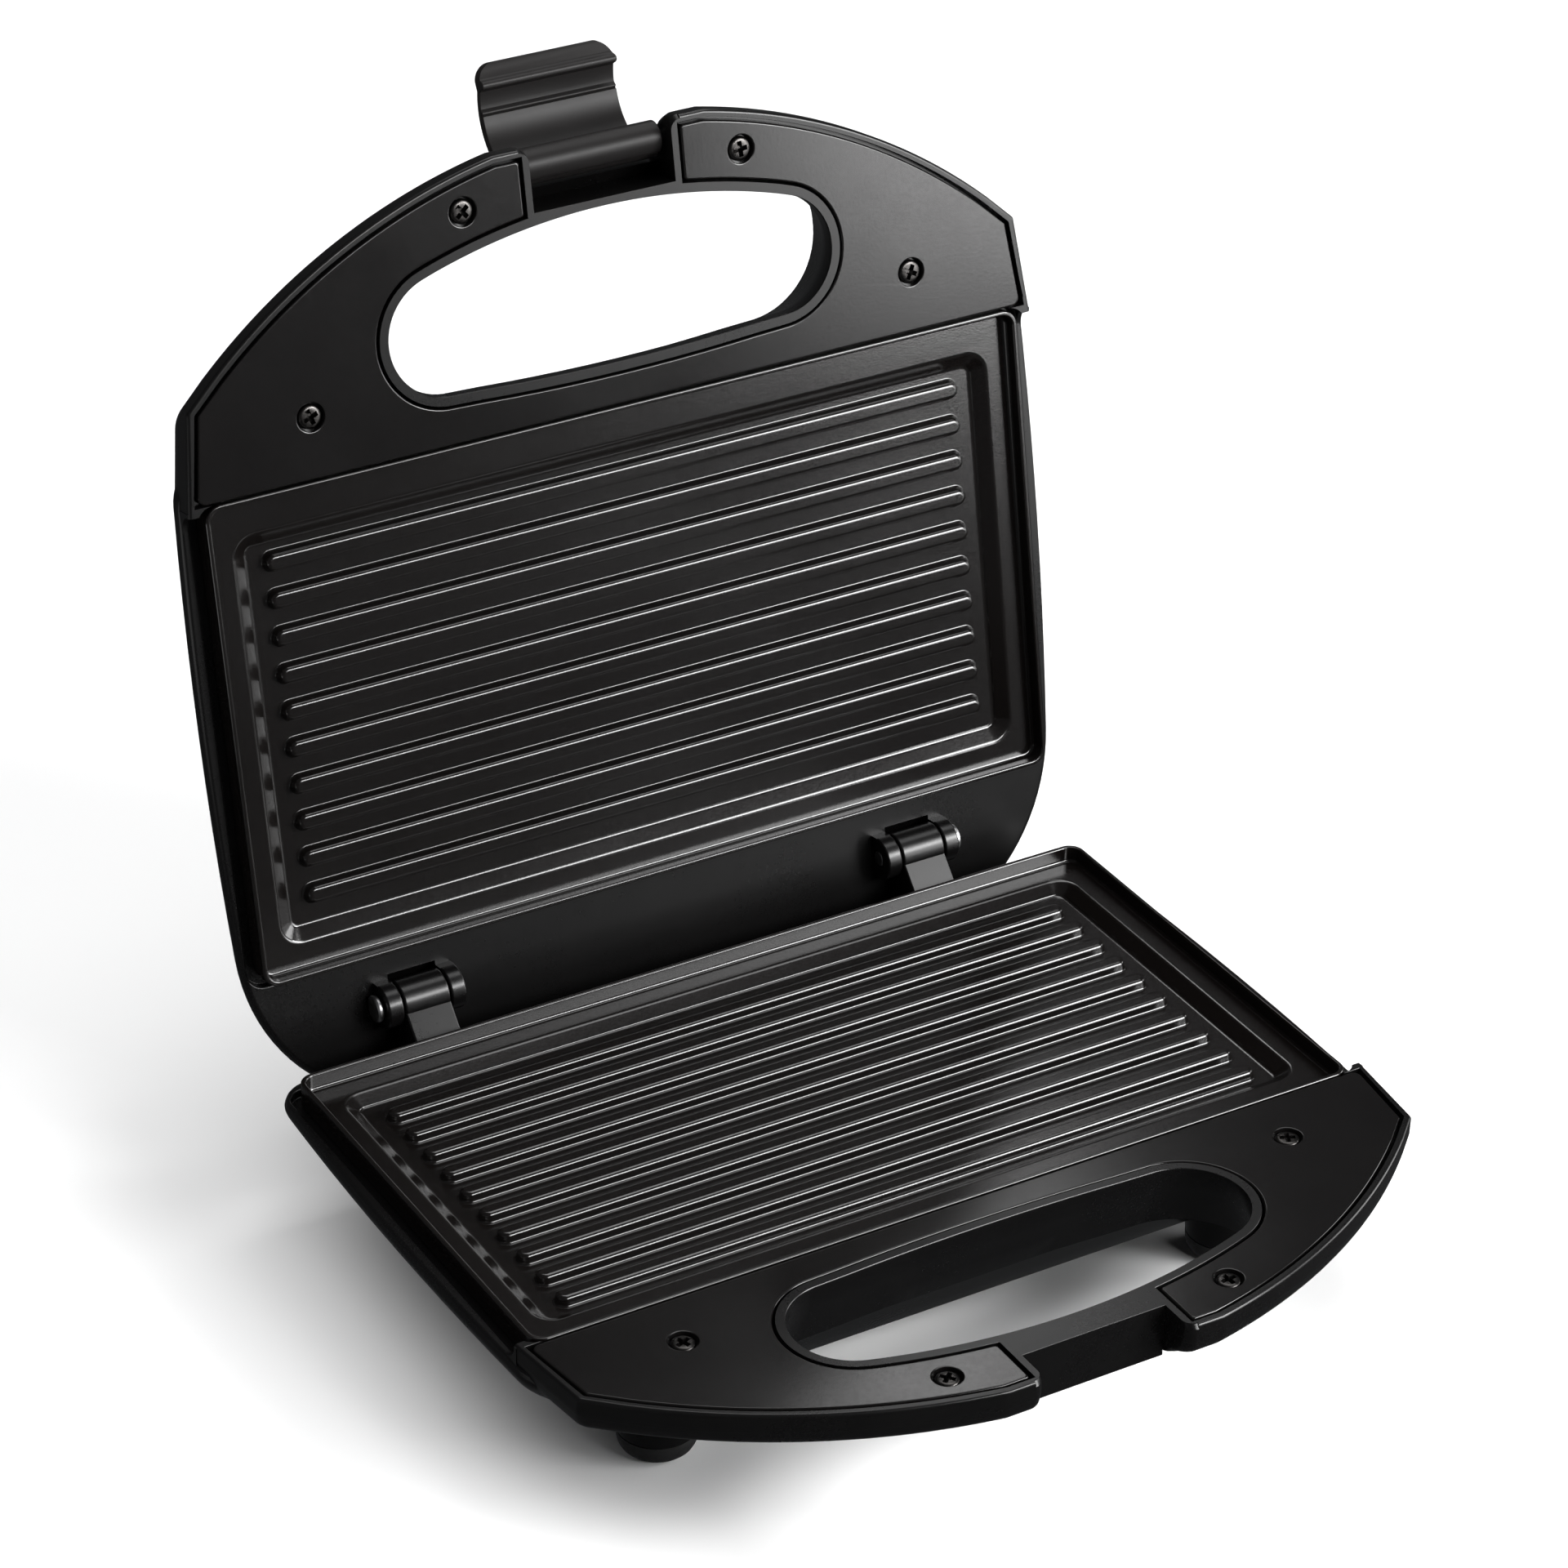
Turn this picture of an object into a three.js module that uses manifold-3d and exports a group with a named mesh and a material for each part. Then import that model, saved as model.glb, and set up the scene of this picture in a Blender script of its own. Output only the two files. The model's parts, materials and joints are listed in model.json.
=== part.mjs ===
// Two-slice panini press: a ribbed contact grill with a hinged lid and a clip latch.
// Millimetres, +Z up, front towards -Y, origin on the table under the middle of the open press.
//
// Both halves are drawn in one "half frame": x across, u forward of the hinge axis (y = -u),
// and depth down from the plane where the halves meet (z = -depth). The lid is the same kind
// of half, turned over about its front-to-back line and swung open about the hinge.

import * as THREE from 'three';
import { mergeVertices } from 'three/addons/utils/BufferGeometryUtils.js';
import Module from 'manifold-3d';

const wasm = await Module();
wasm.setup();

// ---- driving dimensions ------------------------------------------------------------------

const OPEN_ANGLE = 100.4;         // lid on its stop, degrees from closed
const HINGE_Y = 68.6;             // hinge axis, behind the origin
const PARTING_HEIGHT = 42;        // table to the plane where the halves meet
const HINGE_RISE = 2.4;           // hinge axis above that plane
const FACE = 0.2;                 // depth of the lip and panel faces below the plane
const GAP = 0.3;                  // air between pieces that touch
const WALL = 2.5;                 // moulded wall

const PLATE = { halfWidth: 109.8, back: 13.8, front: 134.2, corner: 4, lip: 1.1, ledge: 4.4,
  floor: 7, flange: 6.6, under: 10 };
const TRAY = { halfWidth: 102.5, back: 21, front: 124.3, slope: 3.6, corner: 3 };
const RIB = { count: 10, firstU: 115.7, pitch: 9.3, halfLength: 94.5, width: 4.6, top: 4.5 };

const BOWL = { halfWidth: 115.6, rim: 5, depth: 36, front: 146, taper: 0.72, corner: 12,
  bow: 3.8e-6, bowU: 82 };
const SEAT = { clearance: 0.4, depth: 6.9, ledge: 3.8, under: 9.4 };

const HANDLE = { side: 113.8, shoulder: 111, arcRadius: 156.5, arcU: 46.8, nose: 200.8,
  back: 134.6, rim: 1.7, groove: 0.9, floor: 2.4 };
const FINGER = { sideX: 44.5, sideU: 161.5, sideRadius: 16.8, frontU: 22.8, frontRadius: 162.5,
  backU: 727.2, backRadius: 584, lip: 0.4, ring: 2.4, groove: 0.6, draft: 0.35 };
const PANEL = { thickness: 2.6, screws: [[80.8, 149.6], [37, 189.3]], bossDepths: [17, 9.2],
  screwLength: 7.5 };
const PANEL_UNDER = FACE + PANEL.thickness + GAP;

const RECESS = { halfWidth: 18.8, rib: 1.8, lidRim: 185.3, lidRoof: 188.6, roofDepth: 11.5,
  baseFace: 191, hookU: 184.8, catchDepth: 13.8 };
const LATCH = { u: 195, rise: 7.2, halfWidth: 18, barrel: 4, pin: 1.5, arcV: 10.3, arcW: 3.3,
  inner: 14, relief: 14.8, outer: 16.3, tabCorner: 5 };
const LUG = { x: 70, width: 12, barrel: 5.5, pin: 2, head: 3.4, cheek: 4, play: 0.4,
  notch: 7.2 };
const FOOT = { front: [77.5, 131.7], rear: [63, 25], radius: 9.4, sole: 5.6 };
const INLET = { x: 52, depth: 27.5, flange: 8.2, barrel: 6.2, bore: 4, wallU: 12.2 };

const ELEMENT = { radius: 3.3, depth: 13.9, halfWidth: 86, back: 34, front: 112, bend: 10,
  endX: 14, endDepth: 24 };
const SHIELD = { halfWidth: 97, back: 25, front: 122, corner: 8, rim: 11.5, floor: 18.2, sheet: 1 };
const BOSS = { x: 50, u: 75, radius: 4.2 };
const WELL = { x: 38, us: [48, 100], radius: 3.8, head: 26.5 };
const LAMP = { x: 11, u: 112, radius: 2.4, lens: 4 };

const RAD = Math.PI / 180;

// ---- materials ---------------------------------------------------------------------------

const finish = (color, roughness, metalness) =>
  new THREE.MeshStandardMaterial({ color, roughness, metalness });
const BLACK_PLASTIC = finish(0x0c0c0d, 0.32, 0);
const PANEL_PLASTIC = finish(0x161617, 0.28, 0);
const NON_STICK = finish(0x232122, 0.5, 0.3);
const STEEL = finish(0xb4b6b8, 0.35, 1);
const BLACK_STEEL = finish(0x151515, 0.35, 0.8);
const ALUMINISED = finish(0xa9abad, 0.45, 1);
const CERAMIC = finish(0xe6e1d6, 0.6, 0);
const RUBBER = finish(0x101010, 0.75, 0);
const GLASS_SLEEVE = finish(0xd9d4c4, 0.9, 0);
const RED_LENS = finish(0xb01414, 0.15, 0);
const GREEN_LENS = finish(0x1c8a35, 0.15, 0);
const NEON_GLASS = finish(0xe8d8c8, 0.1, 0);

// ---- solids ------------------------------------------------------------------------------

function toSolid(geometry) {
  const bare = geometry.clone();
  bare.deleteAttribute('normal');
  bare.deleteAttribute('uv');
  const joined = mergeVertices(bare, 1e-4);
  return new wasm.Manifold(new wasm.Mesh({
    numProp: 3,
    vertProperties: new Float32Array(joined.attributes.position.array),
    triVerts: new Uint32Array(joined.index.array),
  }));
}

function toMesh(name, solid, material) {
  const { vertProperties, triVerts } = solid.getMesh();
  const geometry = new THREE.BufferGeometry();
  geometry.setAttribute('position', new THREE.BufferAttribute(vertProperties, 3));
  geometry.setIndex(new THREE.BufferAttribute(triVerts, 1));
  geometry.computeVertexNormals();
  const mesh = new THREE.Mesh(geometry, material);
  mesh.name = name;
  return mesh;
}

const join = (first, ...rest) => rest.reduce((whole, solid) => whole.add(solid), first);
const cut = (first, ...rest) => rest.reduce((whole, solid) => whole.subtract(solid), first);

// A point of a plan outline: x across, u forward.
const plan = (x, u) => new THREE.Vector2(x, -u);

// An upright prism of a plan outline between two depths.
function prism(points, top, bottom) {
  const geometry = new THREE.ExtrudeGeometry(new THREE.Shape(points), {
    depth: bottom - top, bevelEnabled: false,
  });
  return toSolid(geometry.translate(0, 0, -bottom));
}

// A slab across the press: an outline in (u, z), extruded from x0 to x1.
function slab(points, xa, xb) {
  const [x0, x1] = [Math.min(xa, xb), Math.max(xa, xb)];
  const shape = new THREE.Shape(points.map(([u, z]) => new THREE.Vector2(-u, z)));
  const geometry = new THREE.ExtrudeGeometry(shape, { depth: x1 - x0, bevelEnabled: false });
  const turn = new THREE.Matrix4().makeBasis(
    new THREE.Vector3(0, 1, 0), new THREE.Vector3(0, 0, 1), new THREE.Vector3(1, 0, 0));
  return toSolid(geometry.applyMatrix4(turn).translate(x0, 0, 0));
}

function block(x0, x1, u0, u1, top, bottom) {
  return prism([plan(x0, u0), plan(x1, u0), plan(x1, u1), plan(x0, u1)], top, bottom);
}

// An upright turned piece: [radius, depth] pairs from the axis at the bottom to the axis on top.
function turned(profile, x = 0, u = 0, segments = 16) {
  const points = profile.map(([radius, depth]) => new THREE.Vector2(radius, -depth));
  const geometry = new THREE.LatheGeometry(points, segments);
  return toSolid(geometry.rotateX(Math.PI / 2).translate(x, -u, 0));
}

function post(radius, top, bottom, x, u, segments = 16) {
  return turned([[0, bottom], [radius, bottom], [radius, top], [0, top]], x, u, segments);
}

// A round bar along x, centred on (u, z).
function axle(radius, xa, xb, u, z, segments = 14) {
  const geometry = new THREE.CylinderGeometry(radius, radius, Math.abs(xb - xa), segments);
  return toSolid(geometry.rotateZ(Math.PI / 2).translate((xa + xb) / 2, -u, z));
}

// A closed solid through a stack of plan outlines with equal point counts, deepest first.
function loft(levels) {
  const count = levels[0].points.length;
  const turnOver = THREE.ShapeUtils.area(levels[0].points) < 0;
  const rings = levels.map(({ points }) => (turnOver ? [...points].reverse() : points));
  const positions = rings.flatMap((ring, i) => ring.flatMap((p) => [p.x, p.y, -levels[i].depth]));
  const index = [];
  for (let i = 0; i + 1 < rings.length; i += 1) {
    for (let k = 0; k < count; k += 1) {
      const a = i * count + k;
      const b = i * count + ((k + 1) % count);
      index.push(a, b, a + count, b, b + count, a + count);
    }
  }
  const last = (rings.length - 1) * count;
  for (const [a, b, c] of THREE.ShapeUtils.triangulateShape(rings[0], [])) index.push(c, b, a);
  for (const [a, b, c] of THREE.ShapeUtils.triangulateShape(rings.at(-1), [])) {
    index.push(last + a, last + b, last + c);
  }
  const geometry = new THREE.BufferGeometry();
  geometry.setAttribute('position', new THREE.Float32BufferAttribute(positions, 3));
  geometry.setIndex(index);
  return toSolid(geometry);
}

// ---- outlines ----------------------------------------------------------------------------

// Points along an ellipse arc from one angle to another, both ends included.
function arc(x, u, a, b, from, to, steps) {
  return Array.from({ length: steps + 1 }, (_, i) => {
    const angle = (from + ((to - from) * i) / steps) * RAD;
    return plan(x + a * Math.cos(angle), u + b * Math.sin(angle));
  });
}

const mirrored = (points) => points.map((p) => new THREE.Vector2(-p.x, p.y)).reverse();

// A right-hand half outline joined with its mirror image.
const symmetric = (half) => [...half, ...mirrored(half)];

function roundedRect(halfWidth, back, front, corner, steps = 3) {
  return symmetric([
    ...arc(halfWidth - corner, back + corner, corner, corner, -90, 0, steps),
    ...arc(halfWidth - corner, front - corner, corner, corner, 0, 90, steps),
  ]);
}

// The handle's outer edge, moved in: side, shoulder, arc and straight nose.
function handleOutline(inset, sideInset, back = HANDLE.back - 2) {
  const radius = HANDLE.arcRadius - inset;
  const shoulder = HANDLE.shoulder - sideInset;
  const nose = HANDLE.nose - inset - HANDLE.arcU;
  const start = Math.acos(shoulder / radius) / RAD;
  const end = Math.asin(nose / radius) / RAD;
  return symmetric([
    plan(HANDLE.side - sideInset, back),
    ...arc(0, HANDLE.arcU, radius, radius, start, end, 8),
  ]);
}

// The finger hole: two round ends joined by a shallow back arc and a deeper front arc,
// which eases to an inset of its own at the middle of the front bar.
function fingerOutline(inset, barInset = inset) {
  const { sideX, sideU, sideRadius, frontU, frontRadius, backU, backRadius } = FINGER;
  const backAngle = Math.atan2(sideU - backU, sideX) / RAD;
  const frontAngle = Math.atan2(sideU - frontU, sideX) / RAD;
  const side = sideRadius - inset;
  const frontArc = [1, 2, 3].map((i) => {
    const angle = (frontAngle + ((90 - frontAngle) * i) / 4) * RAD;
    const radius = frontRadius - THREE.MathUtils.lerp(inset, barInset, i / 4);
    return plan(radius * Math.cos(angle), frontU + radius * Math.sin(angle));
  });
  return symmetric([
    plan(0.01, backU - backRadius + inset),
    ...arc(sideX, sideU, side, side, backAngle, frontAngle, 8),
    ...frontArc,
    plan(0.01, frontU + frontRadius - barInset),
  ]);
}

// How far the bowl's side has come in at a depth below the parting plane.
const BOWL_SIDE = new THREE.SplineCurve([
  [5, 0.9], [7.5, 0], [12, 2.6], [20, 10], [28, 18], [33.5, 25], [36, 31],
].map(([depth, inset]) => new THREE.Vector2(depth, inset)));

function bowlInset(depth) {
  const points = BOWL_SIDE.getPoints(120);
  const next = points.findIndex((p) => p.x >= depth - 1e-6);
  if (next <= 0) return points[0].y;
  const [p, q] = [points[next - 1], points[next]];
  return p.y + ((q.y - p.y) * (depth - p.x)) / (q.x - p.x);
}

// The base stops just behind its plate; the lid reaches back over the hinge with full corners.
const BASE_REAR = { back: 9, lean: 0.2, corner: [8, 8], growth: 0.5 };
const LID_REAR = { back: -24, lean: 0.75, corner: [37, 44], growth: 0 };

// One plan outline of a bowl, with its long sides bowed out a little.
function bowlOutline(rear, depth, wall, limit = Infinity) {
  const inset = bowlInset(depth);
  const halfWidth = BOWL.halfWidth - inset - wall;
  const back = rear.back + rear.lean * inset + wall;
  const nose = Math.min(BOWL.front - BOWL.taper * inset - wall, limit);
  const [a, b] = rear.corner.map((r) => r + rear.growth * inset);
  const { corner } = BOWL;
  const points = [...arc(halfWidth - a, back + b, a, b, -90, 0, 6)];
  for (const share of [0.33, 0.67]) {
    points.push(plan(halfWidth, back + b + share * (nose - corner - back - b)));
  }
  points.push(...arc(halfWidth - corner, nose - corner, corner, corner, 0, 90, 3));
  const bowed = points.map((p) => new THREE.Vector2(
    p.x * (1 - BOWL.bow * (p.y + BOWL.bowU) ** 2), p.y));
  return symmetric(bowed);
}

// ---- moulded shells ----------------------------------------------------------------------

function bowlBody(rear) {
  return loft([36, 34.5, 30, 20, 12, 7.5, 5].map((depth) => (
    { depth, points: bowlOutline(rear, depth, 0) })));
}

function bowlCavity(rear) {
  const wall = WALL + 0.7;
  const inside = loft([33.5, 29, 20, 12, SEAT.under].map((depth) => (
    { depth, points: bowlOutline(rear, depth, wall, HANDLE.back - WALL) })));
  const mouth = prism(roundedRect(PLATE.halfWidth - SEAT.ledge, PLATE.back + SEAT.ledge,
    PLATE.front - SEAT.ledge, 3), SEAT.depth - 1, SEAT.under + 2);
  const seat = prism(roundedRect(PLATE.halfWidth + SEAT.clearance, PLATE.back - SEAT.clearance,
    HANDLE.back, PLATE.corner), -2, SEAT.depth);
  return join(inside, mouth, seat);
}

// The outside of a handle as [depth, inset of its front, inset of its sides], deepest first.
const RIM_ROUND = [[4.4, 0, 0], [1.5, 0, 0], [0.8, 0.7, 0.7]];
const BASE_HANDLE = [[18, 24, 28], [13.7, 12.6, 7.8], [10, 4.4, 2.8], [8, 1.2, 0.9], ...RIM_ROUND];
const LID_HANDLE = [[18, 24, 24], [13.7, 14, 5], [10.4, 6.5, 1.1], [8, 2.2, 0], ...RIM_ROUND];

function handleLoft(section, back) {
  return loft(section.map(([depth, front, side]) => (
    { depth, points: handleOutline(front, side, back) })));
}

function handleCavity(section) {
  const { rim, back, floor } = HANDLE;
  const inside = section.filter(([depth]) => depth > 4)
    .map(([depth, front, side]) => [depth - floor, front + rim, side + rim]);
  const hollow = handleLoft([...inside, [-2, rim, rim]], back + 2);
  const shelf = prism(handleOutline(rim, rim, back), -2, PANEL_UNDER);
  const recessWall = block(-RECESS.halfWidth - RECESS.rib, RECESS.halfWidth + RECESS.rib,
    180, 210, -3, 40);
  return cut(join(hollow, shelf), fingerWell(-FINGER.lip), recessWall);
}

// The finger hole as a solid: below the panel its ends and back flare, the front bar does not.
function fingerWell(inset) {
  return loft([40, PANEL_UNDER, -3].map((depth) => {
    const flare = FINGER.draft * Math.max(0, depth - PANEL_UNDER);
    return { depth, points: fingerOutline(inset - flare, inset) };
  }));
}

const panelScrewPlaces = () => PANEL.screws.flatMap(([x, u], i) => (
  [-x, x].map((side) => ({ x: side, u, bossDepth: PANEL.bossDepths[i] }))));

// What both halves share: bowl, handle, plate seat, handle cavity, bosses and finger hole.
function shellHalf(rear, section) {
  const outside = join(bowlBody(rear), handleLoft(section, HANDLE.back - 2));
  const hollow = cut(outside, bowlCavity(rear), handleCavity(section));
  const places = panelScrewPlaces();
  const bosses = places.map(({ x, u, bossDepth }) => post(4, PANEL_UNDER, bossDepth, x, u, 10));
  const holeDepth = FACE + 0.3 + PANEL.screwLength + 0.4;
  const holes = places.map(({ x, u }) => post(1.8, -1, holeDepth, x, u, 8));
  return cut(join(hollow, ...bosses), ...holes, fingerWell(FINGER.ring - FINGER.lip));
}

// Hinge lug of the base: an eye on the hinge axis, a web to the back wall and a flat heel,
// which the open lid comes to rest against.
function hingeLug(x) {
  const half = LUG.width / 2;
  const lean = (OPEN_ANGLE - 90) * RAD;
  const offset = BOWL.rim - HINGE_RISE;
  const heelAt = (z) => GAP - offset * Math.cos(lean)
    + (HINGE_RISE - z - offset * Math.sin(lean)) * Math.tan(lean);
  const web = slab([[1, HINGE_RISE + LUG.barrel - 1], [12, -5], [13, -7], [15, -9], [15, -24],
    [heelAt(-17), -17], [heelAt(-2), -2]], x - half, x + half);
  return join(web, axle(LUG.barrel, x - half, x + half, 0, HINGE_RISE));
}

// Cheeks of the lid on each side of a lug, drawn in the lid's half frame.
function hingeCheeks(x) {
  const start = LUG.width / 2 + LUG.play;
  return [-1, 1].flatMap((side) => {
    const near = x + side * start;
    const far = near + side * LUG.cheek;
    const root = slab([[-LUG.barrel, -HINGE_RISE], [LUG.barrel, -HINGE_RISE],
      [LUG.barrel, -7], [-LUG.barrel, -7]], near, far);
    return [root, axle(LUG.barrel, near, far, 0, -HINGE_RISE)];
  });
}

const pinBore = (x, z) => axle(LUG.pin + GAP, x - 16, x + 16, 0, z);

function bottomWells() {
  return WELL.us.flatMap((u) => [-WELL.x, WELL.x].map((x) => ({ x, u })));
}

function baseShell() {
  const lugs = [-LUG.x, LUG.x].map((x) => hingeLug(x));
  const towerTop = SHIELD.floor + SHIELD.sheet + GAP;
  const towers = bottomWells().map(({ x, u }) => post(5.6, towerTop, 34, x, u, 10));
  const wells = bottomWells().map(({ x, u }) => (
    turned([[0, 40], [WELL.radius, 40], [WELL.radius, WELL.head], [1.8, WELL.head],
      [1.8, 10], [0, 10]], x, u, 10)));
  const inletSpot = bushSolid(INLET.flange + GAP, INLET.barrel + GAP, 0, 6);
  const [footX, footU] = FOOT.front;
  const footBosses = [-footX, footX].map((x) => post(FOOT.radius, 22, BOWL.depth, x, footU));
  const { halfWidth, baseFace, hookU, catchDepth } = RECESS;
  const recess = block(-halfWidth, halfWidth, baseFace, 215, -2, 40);
  const hookRelief = block(-halfWidth, halfWidth, hookU, baseFace + 1, catchDepth, 20);
  const bar = block(-halfWidth, halfWidth, hookU - 4, baseFace + 1, 5, catchDepth + 1);
  const catchBar = cut(bar, fingerWell(FINGER.ring - FINGER.lip));
  const whole = join(shellHalf(BASE_REAR, BASE_HANDLE), ...lugs, ...towers, ...footBosses,
    catchBar);
  return cut(whole, ...wells, recess, hookRelief, inletSpot,
    pinBore(-LUG.x, HINGE_RISE), pinBore(LUG.x, HINGE_RISE));
}

function lidShell() {
  const cheeks = [-LUG.x, LUG.x].flatMap((x) => hingeCheeks(x));
  const lugSide = LUG.width / 2 + LUG.play;
  const cheekSide = lugSide + LUG.cheek;
  const notches = [-1, 1].flatMap((side) => [
    axle(LUG.notch, side * (LUG.x - lugSide), side * (LUG.x + lugSide), 0, -HINGE_RISE),
    axle(LUG.head + GAP, side * (LUG.x + cheekSide), side * (LUG.x + cheekSide + 2.4), 0,
      -HINGE_RISE),
  ]);
  const recess = join(
    block(-RECESS.halfWidth, RECESS.halfWidth, RECESS.lidRim, 215, -2, RECESS.roofDepth),
    block(-RECESS.halfWidth, RECESS.halfWidth, RECESS.lidRoof, 215, 5, 40));
  const handleSolid = handleLoft(LID_HANDLE, HANDLE.back);
  const pinEnds = [-1, 1].map((side) => (
    axle(3.9, side * RECESS.halfWidth, side * 24.5, LATCH.u, -LATCH.rise, 10)
      .intersect(handleSolid)));
  const lensHoles = [-LAMP.x, LAMP.x].map((x) => post(LAMP.lens + GAP, 30, 40, x, LAMP.u));
  const whole = join(shellHalf(LID_REAR, LID_HANDLE), ...cheeks, ...pinEnds);
  return cut(whole, ...notches, recess, ...lensHoles,
    axle(LATCH.pin + GAP, -30, 30, LATCH.u, -LATCH.rise, 12),
    pinBore(-LUG.x, -HINGE_RISE), pinBore(LUG.x, -HINGE_RISE));
}

// ---- handle panel and its screws ---------------------------------------------------------

function handlePanel() {
  const top = FACE;
  const bottom = FACE + PANEL.thickness;
  const margin = HANDLE.rim + HANDLE.groove;
  const sheet = prism(handleOutline(margin, margin, HANDLE.back + GAP), top, bottom);
  const opening = prism(fingerOutline(-FINGER.lip - FINGER.groove), -2, 10);
  const latchSide = RECESS.halfWidth + RECESS.rib + 0.8;
  const latchGap = block(-latchSide, latchSide, 176, 215, -2, 10);
  const seats = panelScrewPlaces().map(({ x, u }) => (
    turned([[0, 6], [1.8, 6], [1.8, 2.2], [3.3, 2.2], [3.3, -1], [0, -1]], x, u, 12)));
  return cut(sheet, opening, latchGap, ...seats);
}

// A pan-head screw with a cross recess, head up at the given depth.
function panHeadScrew(radius, headDepth, length, x, u, twist) {
  const turnedBlank = turned([[0, headDepth + length], [1.5, headDepth + length - 1],
    [1.5, headDepth + 1.5], [radius, headDepth + 1.5], [radius * 0.8, headDepth],
    [0, headDepth]], 0, 0, 8);
  const arm = (a, b) => block(-a, a, -b, b, -5, headDepth + 0.9);
  const screw = cut(turnedBlank, arm(0.4, radius * 0.62), arm(radius * 0.62, 0.4));
  return screw.rotate([0, 0, twist]).translate([x, -u, 0]);
}

// ---- grill plate -------------------------------------------------------------------------

function rib(u) {
  const stadium = (inset) => {
    const radius = RIB.width / 2 - inset;
    const half = RIB.halfLength - RIB.width / 2;
    return symmetric(arc(half, u, radius, radius, -90, 90, 4));
  };
  return loft([
    { depth: PLATE.floor + 0.5, points: stadium(0) },
    { depth: PLATE.floor - 0.6, points: stadium(0.1) },
    { depth: RIB.top + 0.7, points: stadium(0.5) },
    { depth: RIB.top, points: stadium(1.4) },
  ]);
}

function grillPlate() {
  const { halfWidth, back, front, corner } = PLATE;
  const rimBlock = prism(roundedRect(halfWidth, back, front, corner), FACE, PLATE.flange);
  const belly = prism(roundedRect(halfWidth - 5, back + 5, front - 5, 5),
    PLATE.flange - 1, PLATE.under);
  const ledge = prism(roundedRect(halfWidth - PLATE.lip, back + PLATE.lip, front - PLATE.lip, 3),
    -2, PLATE.ledge);
  const slope = TRAY.slope;
  const tray = loft([
    { depth: PLATE.floor, points: roundedRect(TRAY.halfWidth - slope, TRAY.back + slope,
      TRAY.front - slope, TRAY.corner) },
    { depth: PLATE.ledge - 0.01, points: roundedRect(TRAY.halfWidth, TRAY.back, TRAY.front,
      TRAY.corner) },
  ]);
  const bosses = [-BOSS.x, BOSS.x].map((x) => cut(
    post(BOSS.radius, PLATE.under - 1, SHIELD.floor - GAP, x, BOSS.u, 12),
    post(1.8, PLATE.under + 1, 30, x, BOSS.u, 10)));
  const ribs = Array.from({ length: RIB.count }, (_, i) => rib(RIB.firstU - RIB.pitch * i));
  return join(cut(join(rimBlock, belly), ledge, tray), ...bosses, ...ribs);
}

// ---- heating parts -----------------------------------------------------------------------

function tube(points, radius, sides, steps) {
  const extrudePath = new THREE.CatmullRomCurve3(points, false, 'centripetal');
  const circle = new THREE.EllipseCurve(0, 0, radius, radius).getPoints(sides).slice(0, -1);
  return toSolid(new THREE.ExtrudeGeometry(new THREE.Shape(circle), {
    steps, bevelEnabled: false, extrudePath }));
}

// One bent tube: a rounded loop under the plate with both ends turned away from it.
function heatingElement() {
  const { depth, halfWidth, back, front, bend, endX, endDepth, radius } = ELEMENT;
  const corner = (cx, cu, from, to) => arc(cx, cu, bend, bend, from, to, 4);
  const loop = [
    ...corner(halfWidth - bend, back + bend, -90, 0),
    ...corner(halfWidth - bend, front - bend, 0, 90),
    ...corner(bend - halfWidth, front - bend, 90, 180),
    ...corner(bend - halfWidth, back + bend, 180, 270),
  ].map((p) => new THREE.Vector3(p.x, p.y, -depth));
  const end = (side) => [
    new THREE.Vector3(side * endX, -back, -endDepth),
    new THREE.Vector3(side * endX, -back, -depth - 5),
    new THREE.Vector3(side * (endX + 1.5), -back, -depth - 1.5),
    new THREE.Vector3(side * (endX + 5), -back, -depth),
  ];
  return tube([...end(1), ...loop, ...end(-1).reverse()], radius, 6, 60);
}

function heatShield(screwHoles) {
  const { halfWidth, back, front, corner, rim, floor, sheet } = SHIELD;
  const flare = 3;
  const pan = (inset, top, bottom) => loft([
    { depth: bottom, points: roundedRect(halfWidth - flare - inset, back + flare + inset,
      front - flare - inset, corner) },
    { depth: top, points: roundedRect(halfWidth - inset, back + inset, front - inset, corner) },
  ]);
  const holes = screwHoles.map(({ x, u }) => post(1.8, 10, 25, x, u, 8));
  const endHoles = [-ELEMENT.endX, ELEMENT.endX].map((x) => (
    post(ELEMENT.radius + 1.5, 10, 25, x, ELEMENT.back, 10)));
  return cut(pan(0, rim, floor + sheet), pan(sheet, rim - 0.01, floor), ...holes, ...endHoles);
}

// A bimetal snap thermostat with two blade tabs, cap against the plate.
function thermostat() {
  const top = PLATE.under + GAP;
  const body = turned([[0, top + 7], [6.5, top + 7], [6.5, top + 2.5], [8, top + 2.5],
    [8, top], [0, top]], 0, BOSS.u);
  const ears = block(-11.5, 11.5, BOSS.u - 2.5, BOSS.u + 2.5, top + 1, top + 2);
  return join(body, ears);
}

function thermalFuse() {
  const z = -(PLATE.under + GAP + 2.2);
  const barrel = axle(2.1, 20, 32, 60, z, 10);
  return join(barrel, axle(0.7, 15, 20.5, 60, z, 6), axle(0.7, 31.5, 37, 60, z, 6));
}

function terminalBlock() {
  const body = block(-15, 15, 62, 74, 24, 33.2);
  const wells = [-9, 0, 9].map((x) => post(2, 20, 29, x, 68, 10));
  return cut(body, ...wells);
}

// A round lead sleeve through the given points.
function leadSleeve(points) {
  return tube(points.map(([x, u, depth]) => new THREE.Vector3(x, -u, -depth)), 2, 6, 14);
}

// ---- base fittings -----------------------------------------------------------------------

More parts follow.
